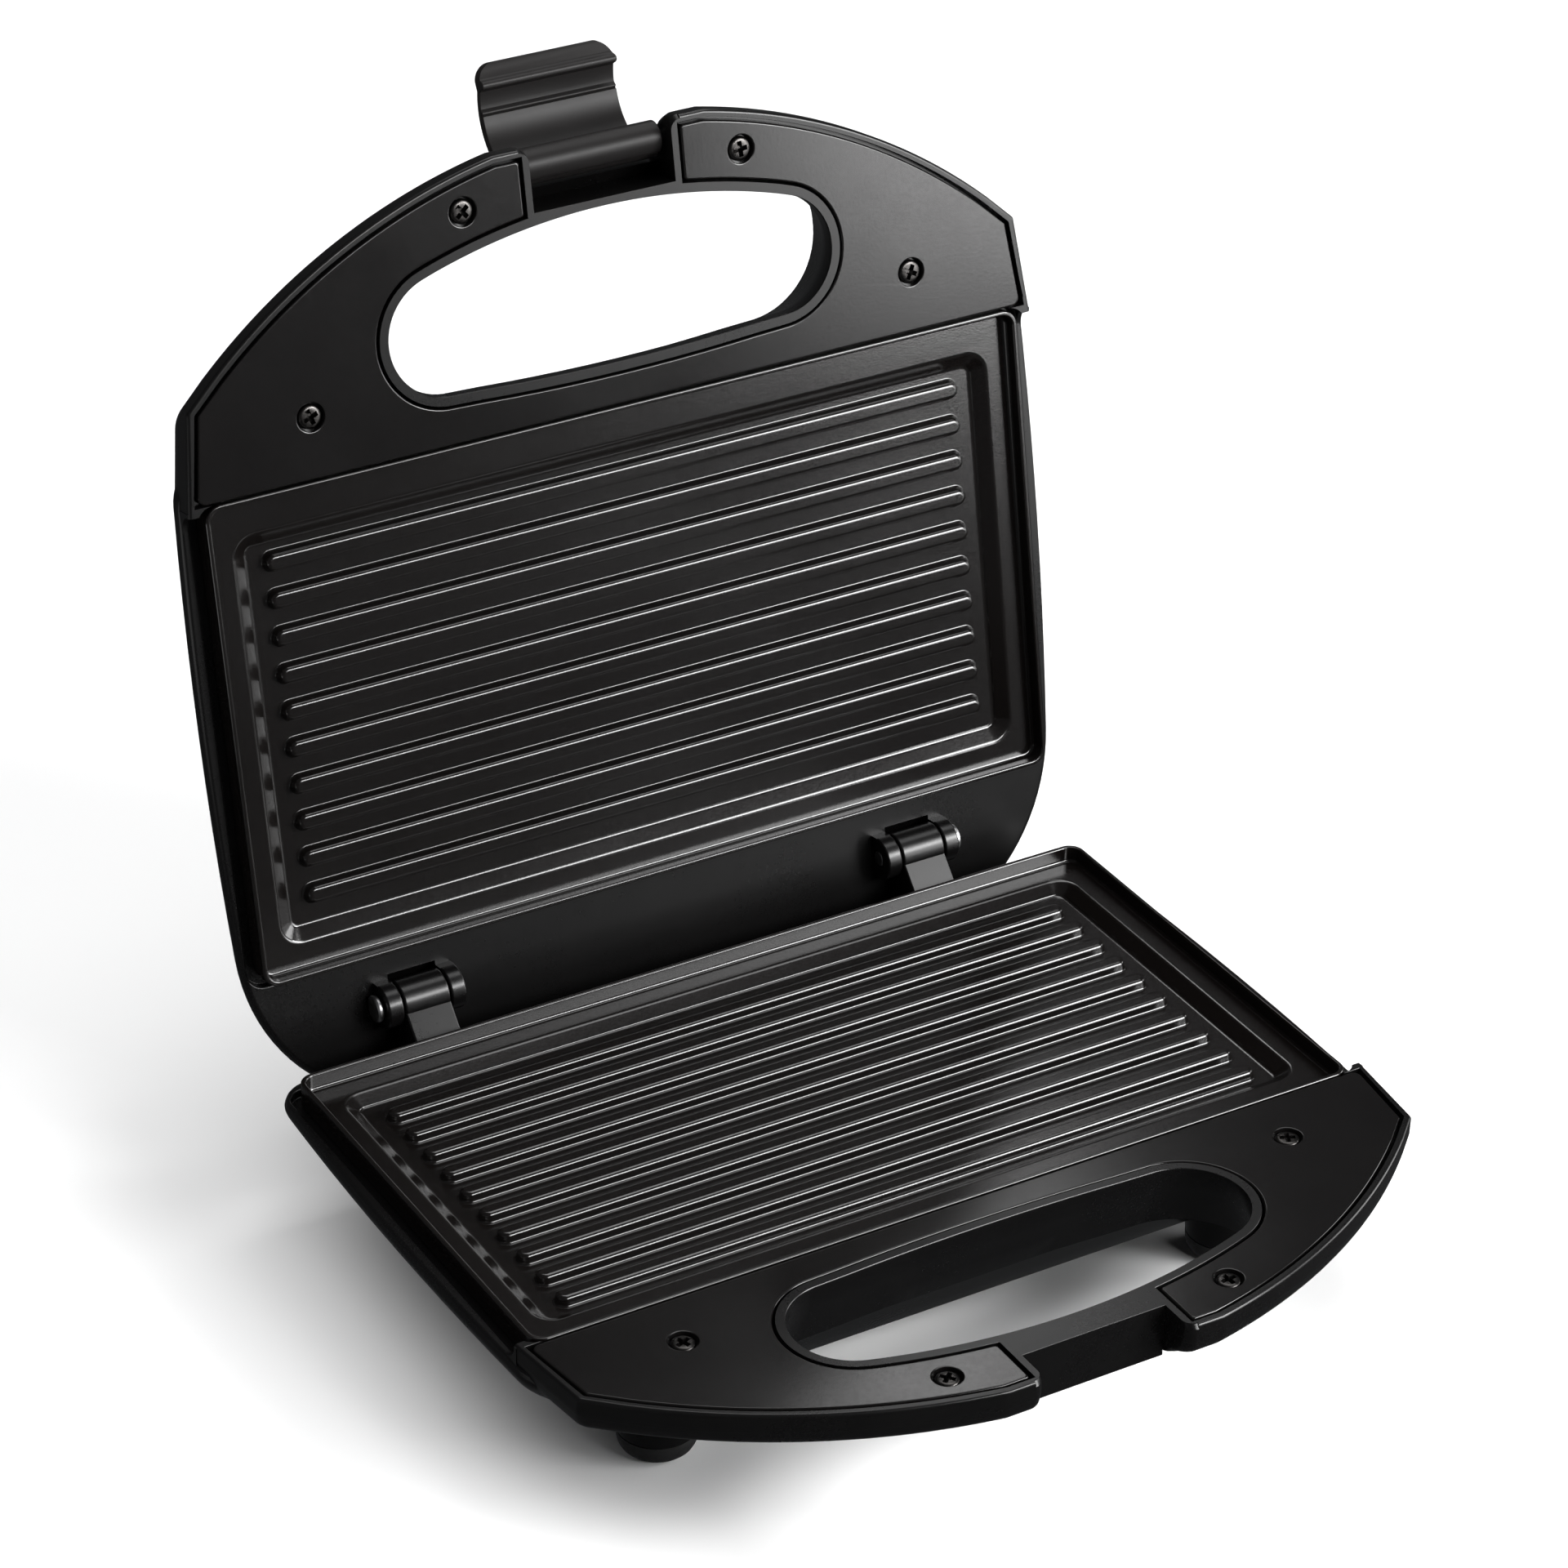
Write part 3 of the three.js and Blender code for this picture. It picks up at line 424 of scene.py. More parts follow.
def bowl_cavity(rear):
    """What is cut from a bowl: its inside, its mouth and the plate's seat."""
    wall = WALL + BOWL_THICKEN
    inside = loft([(d, bowl_outline(rear, between(SIDE_CURVE, d)[0], wall, HANDLE_BACK - WALL))
                   for d in (33.5, 29, 24, 20, 16, 12, 9.4)])
    opening = plate_outline(BOWL_MOUTH, 3)
    mouth = loft([(12.0, opening), (5.9, opening)])
    around = rounded_rect(PLATE_X + SEAT_GAP, PLATE_BACK - SEAT_BACK, HANDLE_BACK, SEAT_CORNER)
    seat = pocket(around, BOWL_RIM, SEAT_DEPTH, 0.6, 0.3)
    step = puck(around, -2, 6)
    return join(inside, mouth, seat, step)


def handle_levels(section, back):
    """The handle's outside; its rim stops short of the parting plane, where the halves meet."""
    levels = []
    for depth, front, side in curve(section):
        corner = CORNER + (CORNER_DEEP - CORNER) * min(1, depth / CORNER_DEPTH)
        levels.append((depth, handle_outline(front, side, back, corner)))
    for depth in (3.6, 2.6, 1.7):
        corner = CORNER + (CORNER_DEEP - CORNER) * depth / CORNER_DEPTH
        levels.append((depth, handle_outline(0, 0, back, corner)))
    for inset, drop in reversed(quarter(NOSE_EDGE)):
        levels.append((RIM_DROP + drop, handle_outline(inset, inset, back)))
    return levels


def finger_well(inset, mouth, flare):
    """The finger hole as a body: below the panel its ends and back widen, the bar does not."""
    levels = []
    for depth in (BELOW, 30, 20, 12, 7, PANEL_UNDER):
        widen = DRAFT * (depth - PANEL_UNDER)
        levels.append((depth, finger_outline(inset - widen, inset)))
    for widen, drop in reversed(quarter(abs(flare))):
        levels.append((mouth + drop, finger_outline(inset - math.copysign(widen, flare))))
    if flare > 0:
        levels.append((mouth - 3, finger_outline(inset - flare)))
    return loft(levels)


def handle_cavity(section):
    """What is cut from a handle, except round the finger hole and the latch's recess."""
    edge = 0.3
    inside = [(d - 2.4, handle_outline(front + RIM, side + RIM, HANDLE_BACK + 2))
              for d, front, side in section if d > 4.5]
    hollow = loft(inside + [(-2, handle_outline(RIM, RIM, HANDLE_BACK + 2))])
    shelf = pocket(handle_outline(RIM, RIM, HANDLE_BACK), 0, PANEL_UNDER, edge)
    walls = puck(box_outline(-RECESS_X - RECESS_WALL, RECESS_X + RECESS_WALL, 180, 210), 0,
                 BELOW, edge)
    ring = finger_well(-LIP, 0, -edge)
    return cut(join(hollow, shelf), ring, walls)


def screw_places():
    """The panel's four screws, as (x, u, depth of the boss)."""
    return [(side * x, u, deep) for x, u, deep in PANEL_SCREWS for side in (-1, 1)]


def rim_ramp(side):
    """The hollow curve that leads the handle's rim down to the bowl's."""
    radius, foot = 4.4, HANDLE_BACK - 2.0
    start = foot - radius + 0.2
    profile = [(foot + 1, -5.6), (start - 0.4, -5.6), (start - 0.4, -BOWL_RIM - 0.05)]
    profile += [(foot + 0.2 - inset, -BOWL_RIM + drop) for inset, drop in quarter(radius, 8)]
    profile.append((foot + 1, -BOWL_RIM + radius))
    return slab(profile, side * (PLATE_X + SEAT_GAP), side * (SIDE + 0.05))


def shell_half(rear, section):
    """What both shells share: bowl, handle, rim, finger hole and the panel's screw bosses."""
    outside = join(bowl_body(rear), loft(handle_levels(section, HANDLE_BACK - 2)),
                   rim_ramp(-1), rim_ramp(1))
    hollow = cut(outside, bowl_cavity(rear), handle_cavity(section))
    bosses = [post(BOSS, PANEL_UNDER, deep, x, u) for x, u, deep in screw_places()]
    holes = [post(SCREW_HOLE, -1, 8.4, x, u, 16) for x, u, _ in screw_places()]
    return cut(join(hollow, *bosses), *holes, finger_well(RING - LIP, 0, 0.45))


def latch_recess(section, face, floor):
    """A cutter for the latch's slot, open to the front, with rounded corners."""
    corner, edge = RECESS_CORNER, NOSE_EDGE
    rows = curve(section)
    mouth = [drop for _, drop in quarter(RECESS_LIP)]
    middle = [1.4 + k for k in range(14) if 1.4 + k < floor]
    levels = []
    for depth in sorted({-3.0, *mouth, *middle, floor}, reverse=True):
        widen = flare_at(depth, RECESS_LIP)
        half = RECESS_X + widen
        nose = NOSE - between(rows, depth)[0] - (edge if depth < edge else 0)
        nose = max(nose, face + corner + 1)
        turn = [(half + drop, nose - inset) for inset, drop in quarter(corner, 6)]
        outline = [(half, face - widen), *turn, (half + corner, BEYOND)]
        levels.append((depth, symmetric(outline)))
    return loft(levels)


def hinge_lug(x):
    """One of the base's lugs: a web that clears the open lid's back, and the pin's barrel."""
    half = LUG_WIDTH / 2
    lean = OPEN - math.pi / 2
    offset = BOWL_RIM - RISE

    def heel(z):
        return (GAP - offset * math.cos(lean)
                + (RISE - z - offset * math.sin(lean)) * math.tan(lean))

    web = slab([(1, RISE + LUG_BARREL - 1), (12, -5), (13, -7), (15, -9), (15, -24),
                (heel(-17), -17), (heel(-2), -2)], x - half, x + half, 0.4)
    return join(web, axle(LUG_BARREL, x - half, x + half, 0, RISE, LUG_EDGE))


def hinge_cheeks(x):
    """The lid's two cheeks beside one lug."""
    start = LUG_WIDTH / 2 + LUG_PLAY
    parts = []
    for side in (-1, 1):
        near = x + side * start
        far = near + side * LUG_CHEEK
        parts.append(slab([(-LUG_BARREL, -RISE), (LUG_BARREL, -RISE), (LUG_BARREL, -7),
                           (-LUG_BARREL, -7)], near, far))
        parts.append(axle(LUG_BARREL, near, far, 0, -RISE, LUG_EDGE))
    return parts


def pin_bore(x, z):
    """A cutter for one hinge pin's hole, through the lug or its cheeks."""
    return axle(LUG_PIN + GAP, x - 16, x + 16, 0, z)


def bottom_wells():
    """Where the base's four bottom screws are."""
    return [(x, u) for u in WELL_U for x in (-WELL_X, WELL_X)]


def bush(flange, barrel, bore):
    """The cord inlet's bush, along y through the base's back wall; without a bore, a cutter."""
    place = Matrix.Translation(INLET) @ Matrix.Rotation(math.pi / 2, 4, "X")
    rim = [(flange - inset, drop - FLANGE_THICK) for inset, drop in quarter(flange / 8)]
    outside = [*rim, (flange, 0), (barrel, 0), (barrel, REACH)]
    if not bore:
        return lathe([(0, -FLANGE_THICK), *outside, (0, REACH)], place)
    mouth = [(bore + inset, drop - FLANGE_THICK) for inset, drop in reversed(quarter(0.8))]
    return lathe([*mouth, *outside, (bore, REACH), mouth[0]], place)


def base_shell():
    """The shared half with hinge lugs, screw wells, foot bosses, inlet and catch bar."""
    towers = [post(5.6, 19.5, 34, x, u) for x, u in bottom_wells()]
    wells = [turned([(0, BELOW), (4.4, BELOW), (4.4, 36.01), (4.1, 35.8), (3.8, 35.2),
                     (3.8, WELL_FLOOR), (SCREW_HOLE, WELL_FLOOR), (SCREW_HOLE, 10), (0, 10)],
                    x, u, 40) for x, u in bottom_wells()]
    inlet = bush(FLANGE + GAP, BARREL + GAP, 0)
    x_foot, u_foot = FOOT_FRONT
    feet = [post(FOOT_RADIUS, 22, BOWL_DEPTH, x, u_foot, 64) for x in (-x_foot, x_foot)]
    bar = puck(recess_box(BAR_BACK, BAR_FRONT), BAR_TOP, BAR_BOTTOM)
    catch = cut(bar, finger_well(RING - LIP, BAR_TOP, 0.6))
    relief = puck(recess_box(BAR_HOOK, BAR_FRONT), BAR_SILL, 20)
    recess = latch_recess(BASE_SECTION, BASE_RECESS_U, BELOW)
    lugs = [hinge_lug(x) for x in (-LUG_X, LUG_X)]
    whole = join(shell_half(BASE_REAR, BASE_SECTION), *lugs, *towers, *feet, catch)
    return cut(whole, *wells, recess, relief, inlet, pin_bore(-LUG_X, RISE),
               pin_bore(LUG_X, RISE))


def lid_shell():
    """The shared half with hinge cheeks, lamp holes and the latch's place in the handle."""
    lug_side = LUG_WIDTH / 2 + LUG_PLAY
    cheek_side = lug_side + LUG_CHEEK
    cheeks = hinge_cheeks(-LUG_X) + hinge_cheeks(LUG_X)
    notches = []
    for side in (-1, 1):
        notches.append(axle(7.2, side * (LUG_X - lug_side), side * (LUG_X + lug_side), 0, -RISE))
        notches.append(axle(3.7, side * (LUG_X + cheek_side), side * (LUG_X + cheek_side + 2.4),
                            0, -RISE))
    upper = latch_recess(LID_SECTION, LID_RECESS_U, LID_RECESS_FLOOR)
    slope = slab([(LID_RECESS_U, -8.9), (LID_RECESS_U, -12.3),
                  (LID_RECESS_FOOT, -LID_RECESS_FLOOR), (LID_RECESS_FOOT, -8.9)],
                 -RECESS_X, RECESS_X)
    through = puck(recess_box(188.6, BEYOND), 5, BELOW)
    pin_ends = [keep(axle(PIN_BOSS, side * RECESS_X, side * PIN_BOSS_END, LATCH_U, -LATCH_RISE),
                     loft(handle_levels(LID_SECTION, HANDLE_BACK))) for side in (-1, 1)]
    lenses = [turned([(0, BELOW), (5.0, BELOW), (5.0, 36.01), (4.5, 35.8), (4.3, 35.3),
                      (4.3, 30), (0, 30)], x, LAMP_U) for x in (-LAMP_X, LAMP_X)]
    whole = join(shell_half(LID_REAR, LID_SECTION), *cheeks, *pin_ends)
    return cut(whole, *notches, upper, slope, through, *lenses,
               axle(PIN_RADIUS + GAP, -30, 30, LATCH_U, -LATCH_RISE), pin_bore(-LUG_X, -RISE),
               pin_bore(LUG_X, -RISE))


# ---- fittings ----------------------------------------------------------------------------


def handle_panel():
    """One C-shaped sheet: handle edge outside, finger hole and latch gap inside."""
    margin = RIM + GROOVE
    gap_x = RECESS_X + RECESS_WALL + 0.8

    def outline(inset):
        outer = handle_outline(margin + inset, margin + inset, HANDLE_BACK + GAP + inset, 0.5)
        right = outer[:len(outer) // 2]
        side = gap_x + inset
        rear = fillet((0, right[0][1]), right[0], right[1], 1.8, 8)
        run = [p for p in right[1:] if p[0] > side + 0.5]
        tip = (side, NOSE - margin - inset)
        hole = finger_half(-LIP - 0.6 - inset, -LIP - 0.6 - inset, side)
        hole[-1] = (0.001, hole[-1][1])  # off the middle, so the mirror image has its own point
        ends = fillet(run[-1], tip, hole[0], 0.7, 4) + fillet(tip, hole[0], hole[1], 0.7, 4)
        return symmetric([*rear, *run, *ends, *hole[1:]])

    top = [(FACE + drop, outline(inset)) for inset, drop in reversed(quarter(0.5))]
    sheet = loft([(FACE + PANEL_THICK, outline(0)), *top])
    seats = [turned([(0, 6), (SCREW_HOLE, 6), (SCREW_HOLE, 2.2), (3.5, 2.2), (3.5, FACE + 0.35),
                     (3.6, FACE + 0.12), (3.85, FACE), (3.85, -1), (0, -1)], x, u)
             for x, u, _ in screw_places()]
    return cut(sheet, *seats)


def screw(radius, head, length, x, u, twist, rising=False):
    """A pan-head screw with a cross recess; head is the depth of the top of its head."""
    dome = [(0, 0), (0.5, 0.01), (0.7, 0.05), (0.82, 0.14), (0.92, 0.34), (0.98, 0.65),
            (1, 1.0), (0.98, 1.4), (0.92, 1.5)]
    profile = [(radius * r, d) for r, d in dome]
    profile += [(SCREW_SHANK, 1.5), (SCREW_SHANK, length - 1), (0.6, length), (0, length)]
    blank = turned(profile)
    arms = []
    for flip in (False, True):
        levels = []
        for depth, reach, half in ((1.7, 0.25, 0.3), (1.2, 0.5, 0.46), (-0.6, 0.72, 0.68)):
            a, b = reach * radius, half
            rect = box_outline(-b, b, -a, a) if flip else box_outline(-a, a, -b, b)
            levels.append((depth, rect))
        arms.append(loft(levels))
    body = cut(blank, *arms)
    turn = Matrix.Rotation(math.pi, 4, "X") if rising else Matrix()
    place = Matrix.Translation((x, -u, -head)) @ turn @ Matrix.Rotation(math.radians(twist), 4, "Z")
    body.data.transform(place)
    return body


def grill_plate():
    """A plate with a stepped ledge, a sloping tray and ten ribs, and two bosses below."""
    block = puck(plate_outline(0, 4), FACE, 6.6, 0.45, 0.3)
    belly = puck(plate_outline(5, 5), 5.6, 10, 0, 1)
    ledge = pocket(plate_outline(1.2, 3.0), FACE, LEDGE, 0.45, 0.9)
    floor = rounded_rect(TRAY_X - TRAY_SLOPE, TRAY_BACK + TRAY_SLOPE, TRAY_FRONT - TRAY_SLOPE, 2.6)
    slope = TRAY_SLOPE / (FLOOR - LEDGE)
    levels = [(FLOOR - drop * 0.4, grow(floor, -inset)) for inset, drop in quarter(1.2)]
    levels.append((LEDGE + 0.35, grow(floor, TRAY_SLOPE - slope * 0.5)))
    levels += [(LEDGE + d, grow(floor, TRAY_SLOPE + g)) for d, g in
               ((0.16, -0.3), (0.05, 0.05), (0, 0.55), (-1, 0.6))]
    tray = loft(levels)
    bosses = [cut(post(4.2, 9, 17.9, x, PLATE_BOSS_U), post(SCREW_HOLE, 11, 30, x, PLATE_BOSS_U))
              for x in (-PLATE_BOSS_X, PLATE_BOSS_X)]
    body = cut(join(block, belly), ledge, tray)
    return join(body, *bosses, *(grill_rib(RIB_FIRST - RIB_PITCH * i) for i in range(RIBS)))


def grill_rib(u):
    """One rib with a round crown, round ends and a filleted foot."""
    end = RIB_HALF - RIB_WIDTH / 2

    def stadium(inset):
        radius = RIB_WIDTH / 2 - inset
        return symmetric(arc(end, u, radius, radius, -90, 90, 14))

    rise = [(7.4, -0.6), (7.0, -0.6), (6.85, -0.3), (6.6, -0.08), (6.2, 0.03), (5.7, 0.1)]
    rise += [(RIB_TOP + drop, 0.14 + inset) for inset, drop in reversed(quarter(1.15, 7))]
    return loft([(depth, stadium(inset)) for depth, inset in rise])


def foot(x, u):
    """A rubber foot, from (radius, height above the sole) pairs."""
    rise = [(0, 0), (5.2, 0), (5.6, 0.03), (6.6, 0.25), (7.7, 0.75), (8.5, 1.5), (9.1, 2.6),
            (9.35, 3.8), (FOOT_RADIUS, 5.0), (FOOT_RADIUS, 5.7), (0, 5.7)]
    return turned([(r, FOOT_SOLE - h) for r, h in rise], x, u, 72)


def hinge_pin(side):
    """A pin through one lug, with its head on the press's outer side."""
    reach = LUG_WIDTH / 2 + LUG_PLAY + LUG_CHEEK
    inner = side * (LUG_X - reach)
    face = side * (LUG_X + reach + GAP)
    shank = axle(LUG_PIN, inner, face + side, 0, RISE, 0.4)
    return join(shank, axle(PIN_HEAD, face, face + side * 1.6, 0, RISE, 0.6))


def lamp_lens(x):
    """A domed lens in the lid's top."""
    crown = [(0, 37.5), (1.2, 37.45), (2.2, 37.2), (3.1, 36.75), (3.7, 36.2), (4.0, 35.6)]
    return turned([*crown, (4.0, 32), (0, 32)], x, LAMP_U)


def latch():
    """Barrel, curved arm, hook lip and thumb tab, in (v forward, w away from the plate)."""
    cv, cw = 10.3, 3.3
    inner, outer = 14.0, 16.18

    def along(radius, start, end, steps):
        return arc(cv, cw, radius, radius, start, end, steps)

    def polar(*pairs):
        return [(cv + r * math.cos(math.radians(t)), cw + r * math.sin(math.radians(t)))
                for r, t in pairs]

    step = polar((inner, 97), (14.25, 96.6), (14.4, 96.0), (14.25, 95.2), (14.05, 94.6),
                 (inner, 93.6), (14.1, 92.6), (14.5, 91.4), (14.75, 90.2))
    profile = [*along(inner, 190, 98, 30), *step, *along(14.8, 88, 73.5, 7)]
    profile += [(14.9, 16.9), (15.1, 16.4), (15.35, 15.9), (15.7, 15.52), (16.2, 15.4),
                (16.75, 15.54), (17.1, 15.9), (17.25, 16.4), (17.4, 16.95), (17.8, 17.45),
                (20.3, 18.58), (20.63, 18.93), (20.7, 19.46), (20.6, 19.96), (20.3, 20.24),
                (19.8, 20.32), (18.4, 20.06), (16.6, 19.6)]
    profile += [*along(outer, 75, 180, 36), (-5.4, 1.2), (-4.6, -0.6), (-3.4, -1.8)]
    strap = slab(profile, -LATCH_X, LATCH_X, 0.35)
    ends = puck(rounded_rect(LATCH_X, -12, 20.75, 5, 14), -30, 30)
    barrel = axle(LATCH_BARREL, -LATCH_X, LATCH_X, 0, 0, 0.4, 64)
    whole = join(keep(strap, ends), barrel)
    return cut(whole, axle(PIN_RADIUS + GAP, -30, 30, 0, 0))


# ---- materials ---------------------------------------------------------------------------


class Nodes:
    """A material being wired up, with short calls for the nodes it uses."""

    def __init__(self, name):
        self.material = bpy.data.materials.new(name)
        self.material.use_nodes = True
        self.tree = self.material.node_tree
        self.shader = self.tree.nodes["Principled BSDF"]
        self.coords = self.add("ShaderNodeTexCoord").outputs["Object"]

    def add(self, kind, **settings):
        node = self.tree.nodes.new(kind)
        for key, value in settings.items():
            setattr(node, key, value)
        return node

    def link(self, source, target):
        self.tree.links.new(source, target)

    def noise(self, scale, detail=2.0, rough=0.5, stretch=None):
        node = self.add("ShaderNodeTexNoise")
        node.inputs["Scale"].default_value = scale
        node.inputs["Detail"].default_value = detail
        node.inputs["Roughness"].default_value = rough
        source = self.coords
        if stretch:
            mapping = self.add("ShaderNodeMapping")
            mapping.inputs["Scale"].default_value = stretch
            self.link(self.coords, mapping.inputs["Vector"])
            source = mapping.outputs["Vector"]
        self.link(source, node.inputs["Vector"])
        return node.outputs["Fac"]

    def spots(self, scale):
        node = self.add("ShaderNodeTexVoronoi")
        node.inputs["Scale"].default_value = scale
        self.link(self.coords, node.inputs["Vector"])
        return node.outputs["Distance"]

    def remap(self, source, low, high, to_low, to_high):
        node = self.add("ShaderNodeMapRange")
        self.link(source, node.inputs["Value"])
        for key, value in (("From Min", low), ("From Max", high), ("To Min", to_low),
                           ("To Max", to_high)):
            node.inputs[key].default_value = value
        return node.outputs["Result"]

    def colour(self, factor, dark, light):
        """The base colour, from one colour to another."""
        node = self.add("ShaderNodeMix", data_type="RGBA")
        self.link(factor, node.inputs["Factor"])
        first, second, result = node.inputs[6], node.inputs[7], node.outputs[2]
        first.default_value = (*dark, 1)
        second.default_value = (*light, 1)
        self.link(result, self.shader.inputs["Base Color"])

    def roughness(self, noise, smooth, dull):
        """The roughness, from the middle of a noise's range."""
        self.link(self.remap(noise, 0.3, 0.7, smooth, dull), self.shader.inputs["Roughness"])

    def math(self, operation, first, second):
        node = self.add("ShaderNodeMath", operation=operation)
        for socket, value in zip(node.inputs, (first, second)):
            if isinstance(value, (int, float)):
                socket.default_value = value
            else:
                self.link(value, socket)
        return node.outputs["Value"]

    def blend(self, first, second, share):
        """A weighted mean, in which the first has the given share."""
        return self.math("ADD", self.math("MULTIPLY", first, share),
                         self.math("MULTIPLY", second, 1 - share))

    def bump(self, height, distance):
        node = self.add("ShaderNodeBump")
        node.inputs["Strength"].default_value = 1.0
        node.inputs["Distance"].default_value = distance
        self.link(height, node.inputs["Height"])
        self.link(node.outputs["Normal"], self.shader.inputs["Normal"])

    def set(self, **values):
        """Plain values for the shader's sockets."""
        for key, value in values.items():
            socket = self.shader.inputs[key.replace("_", " ")]
            socket.default_value = value


def moulded(name, dark, light, smooth, dull, shine, grain):
    """Gloss moulded plastic: faint mottling, uneven polish and a fine orange peel."""
    n = Nodes(name)
    n.colour(n.noise(60, 3), dark, light)
    n.roughness(n.blend(n.noise(35, 4), n.noise(900, 2), 0.6), smooth, dull)
    n.bump(n.noise(1400, 2), grain)
    n.set(Specular_IOR_Level=shine)
    return n.material


def coated(name):
    """Sprayed non-stick coat: charcoal with fine pale flecks and a pebbled skin, tinted slightly
    warm as a painted reflection of brown toast.
    """
    n = Nodes(name)
    flecks = n.remap(n.spots(2600), 0.02, 0.16, 1.0, 0.0)
    mottled = n.math("MULTIPLY", flecks, n.remap(n.noise(700, 2), 0.45, 0.65, 0.15, 1.0))
    # The charcoal and the pale flecks are the coat's own colour; the slight warm tint in both
    # colours is a painted reflection of brown toast.
    n.colour(mottled, (0.003, 0.0024, 0.0022), (0.018, 0.0155, 0.0145))
    n.roughness(n.blend(n.noise(20, 4), n.noise(1100, 2), 0.5), 0.15, 0.21)
    pebble = n.math("ADD", n.noise(2400, 2, 0.6), n.math("MULTIPLY", n.noise(700, 2), 0.5))
    n.bump(pebble, 0.000012)
    n.set(Specular_IOR_Level=0.7)
    return n.material


def metal(name, dark, light, smooth, dull, stretch=(1, 1, 1)):
    """Rolled or drawn metal, with grain along one direction."""
    n = Nodes(name)
    grain = n.noise(900, 3, 0.6, stretch)
    n.colour(n.noise(120, 3), dark, light)
    n.roughness(grain, smooth, dull)
    n.bump(grain, 0.00003)
    n.set(Metallic=1.0)
    return n.material


def matt(name, dark, light, rough, scale, height):
    """Rubber, ceramic and other dull surfaces with a fine grain."""
    n = Nodes(name)
    n.colour(n.noise(scale / 6, 3), dark, light)
    n.roughness(n.noise(scale / 2, 3), rough - 0.08, rough + 0.06)
    n.bump(n.noise(scale, 3, 0.6), height)
    return n.material


def braided(name):
    """Glass-fibre sleeve: a crossing weave."""
    n = Nodes(name)
    waves = []
    for turn in (0.7, -0.7):
        mapping = n.add("ShaderNodeMapping")
        mapping.inputs["Rotation"].default_value = (0.3, turn, turn)
        n.link(n.coords, mapping.inputs["Vector"])
        wave = n.add("ShaderNodeTexWave")
        wave.inputs["Scale"].default_value = 420
        n.link(mapping.outputs["Vector"], wave.inputs["Vector"])
        waves.append(wave.outputs["Fac"])
    weave = n.math("MULTIPLY", *waves)
    n.colour(weave, (0.42, 0.39, 0.31), (0.74, 0.71, 0.62))
    n.set(Roughness=0.85)
    n.bump(weave, 0.0002)
    return n.material


def clear(name, colour, deep, rough):
    """Tinted lens plastic."""
    n = Nodes(name)
    n.colour(n.noise(180, 2), colour, deep)
    n.roughness(n.noise(900, 2), rough, rough + 0.06)
    n.bump(n.spots(900), 0.00004)
    n.set(Transmission_Weight=0.35, IOR=1.49)
    return n.material


BLACK = moulded("black_plastic_fine", (0.0015, 0.0014, 0.0015), (0.003, 0.0028, 0.0028), 0.26,
                0.31, 0.4, 0.000002)
PANEL = moulded("panel_plastic_fine", (0.0028, 0.0025, 0.0025), (0.0045, 0.0041, 0.004), 0.15,
                0.21, 0.4, 0.000005)
SATIN = moulded("satin_plastic_fine", (0.008, 0.0073, 0.0072), (0.0105, 0.0097, 0.0096), 0.36,
                0.42, 0.16, 0.000003)
COAT = coated("non_stick_fine")
STEEL = metal("steel_fine", (0.42, 0.42, 0.43), (0.56, 0.56, 0.56), 0.28, 0.42, (0.1, 1, 1))
BLACK_STEEL = metal("black_steel_fine", (0.045, 0.043, 0.042), (0.075, 0.071, 0.068), 0.24, 0.36)
ALUMINISED = metal("aluminised_fine", (0.44, 0.45, 0.46), (0.58, 0.58, 0.58), 0.36, 0.52,
                   (1, 0.2, 1))
CERAMIC = matt("ceramic_fine", (0.62, 0.58, 0.5), (0.74, 0.71, 0.63), 0.55, 900, 0.00006)
RUBBER = matt("rubber_fine", (0.008, 0.008, 0.0085), (0.014, 0.0135, 0.013), 0.5, 1500, 0.00006)
SLEEVE = braided("glass_sleeve_fine")
GLASS = clear("neon_glass_fine", (0.8, 0.7, 0.6), (0.6, 0.5, 0.42), 0.08)
RED = clear("red_lens_fine", (0.5, 0.012, 0.012), (0.32, 0.006, 0.008), 0.1)
GREEN = clear("green_lens_fine", (0.012, 0.32, 0.06), (0.008, 0.2, 0.04), 0.1)

SLOT_LOOKS = dict(black_plastic=BLACK, panel_plastic=PANEL, non_stick=COAT, steel=STEEL,
                  black_steel=BLACK_STEEL, aluminised=ALUMINISED, ceramic=CERAMIC,
                  rubber=RUBBER, glass_sleeve=SLEEVE, neon_glass=GLASS, red_lens=RED,
                  green_lens=GREEN)

# ---- assembly ----------------------------------------------------------------------------

SHARP = math.radians(33.0)


def dress(body, node, place, ride_on, slot, look=None):
    """Puts a finished body in the shared frame, in place of the CAD node it refines."""
    body.name = node + "_fine"
    mesh = body.data
    mesh.name = body.name
    mesh.transform(place)
    mesh.materials.clear()
    mesh.materials.append(look or SLOT_LOOKS[slot])
    mesh.polygons.foreach_set("use_smooth", [True] * len(mesh.polygons))
    mesh.set_sharp_from_angle(angle=SHARP)
    weights = body.modifiers.new("weights", "WEIGHTED_NORMAL")
    weights.keep_sharp = True
    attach(body, ride_on)
    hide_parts(node)


def dress_half(prefix, place, right, shell):
    """One half's shell, panel, plate and panel screws; right is the side of +x in its frame."""
    dress(shell(), f"{prefix}_shell", place, prefix, "black_plastic")
    dress(handle_panel(), f"{prefix}_handle_panel", place, prefix, "panel_plastic")
    dress(grill_plate(), f"{prefix}_grill_plate", place, prefix, "non_stick")
    spots = [(side * right * x, u) for x, u, _ in PANEL_SCREWS for side in (-1, 1)]
    for (x, u), name, twist in zip(spots, CORNERS, SCREW_TURNS):
        dress(screw(3, FACE + GAP, 7.5, x, u, twist), f"{prefix}_panel_screw_{name}", place,
              prefix, "black_steel")


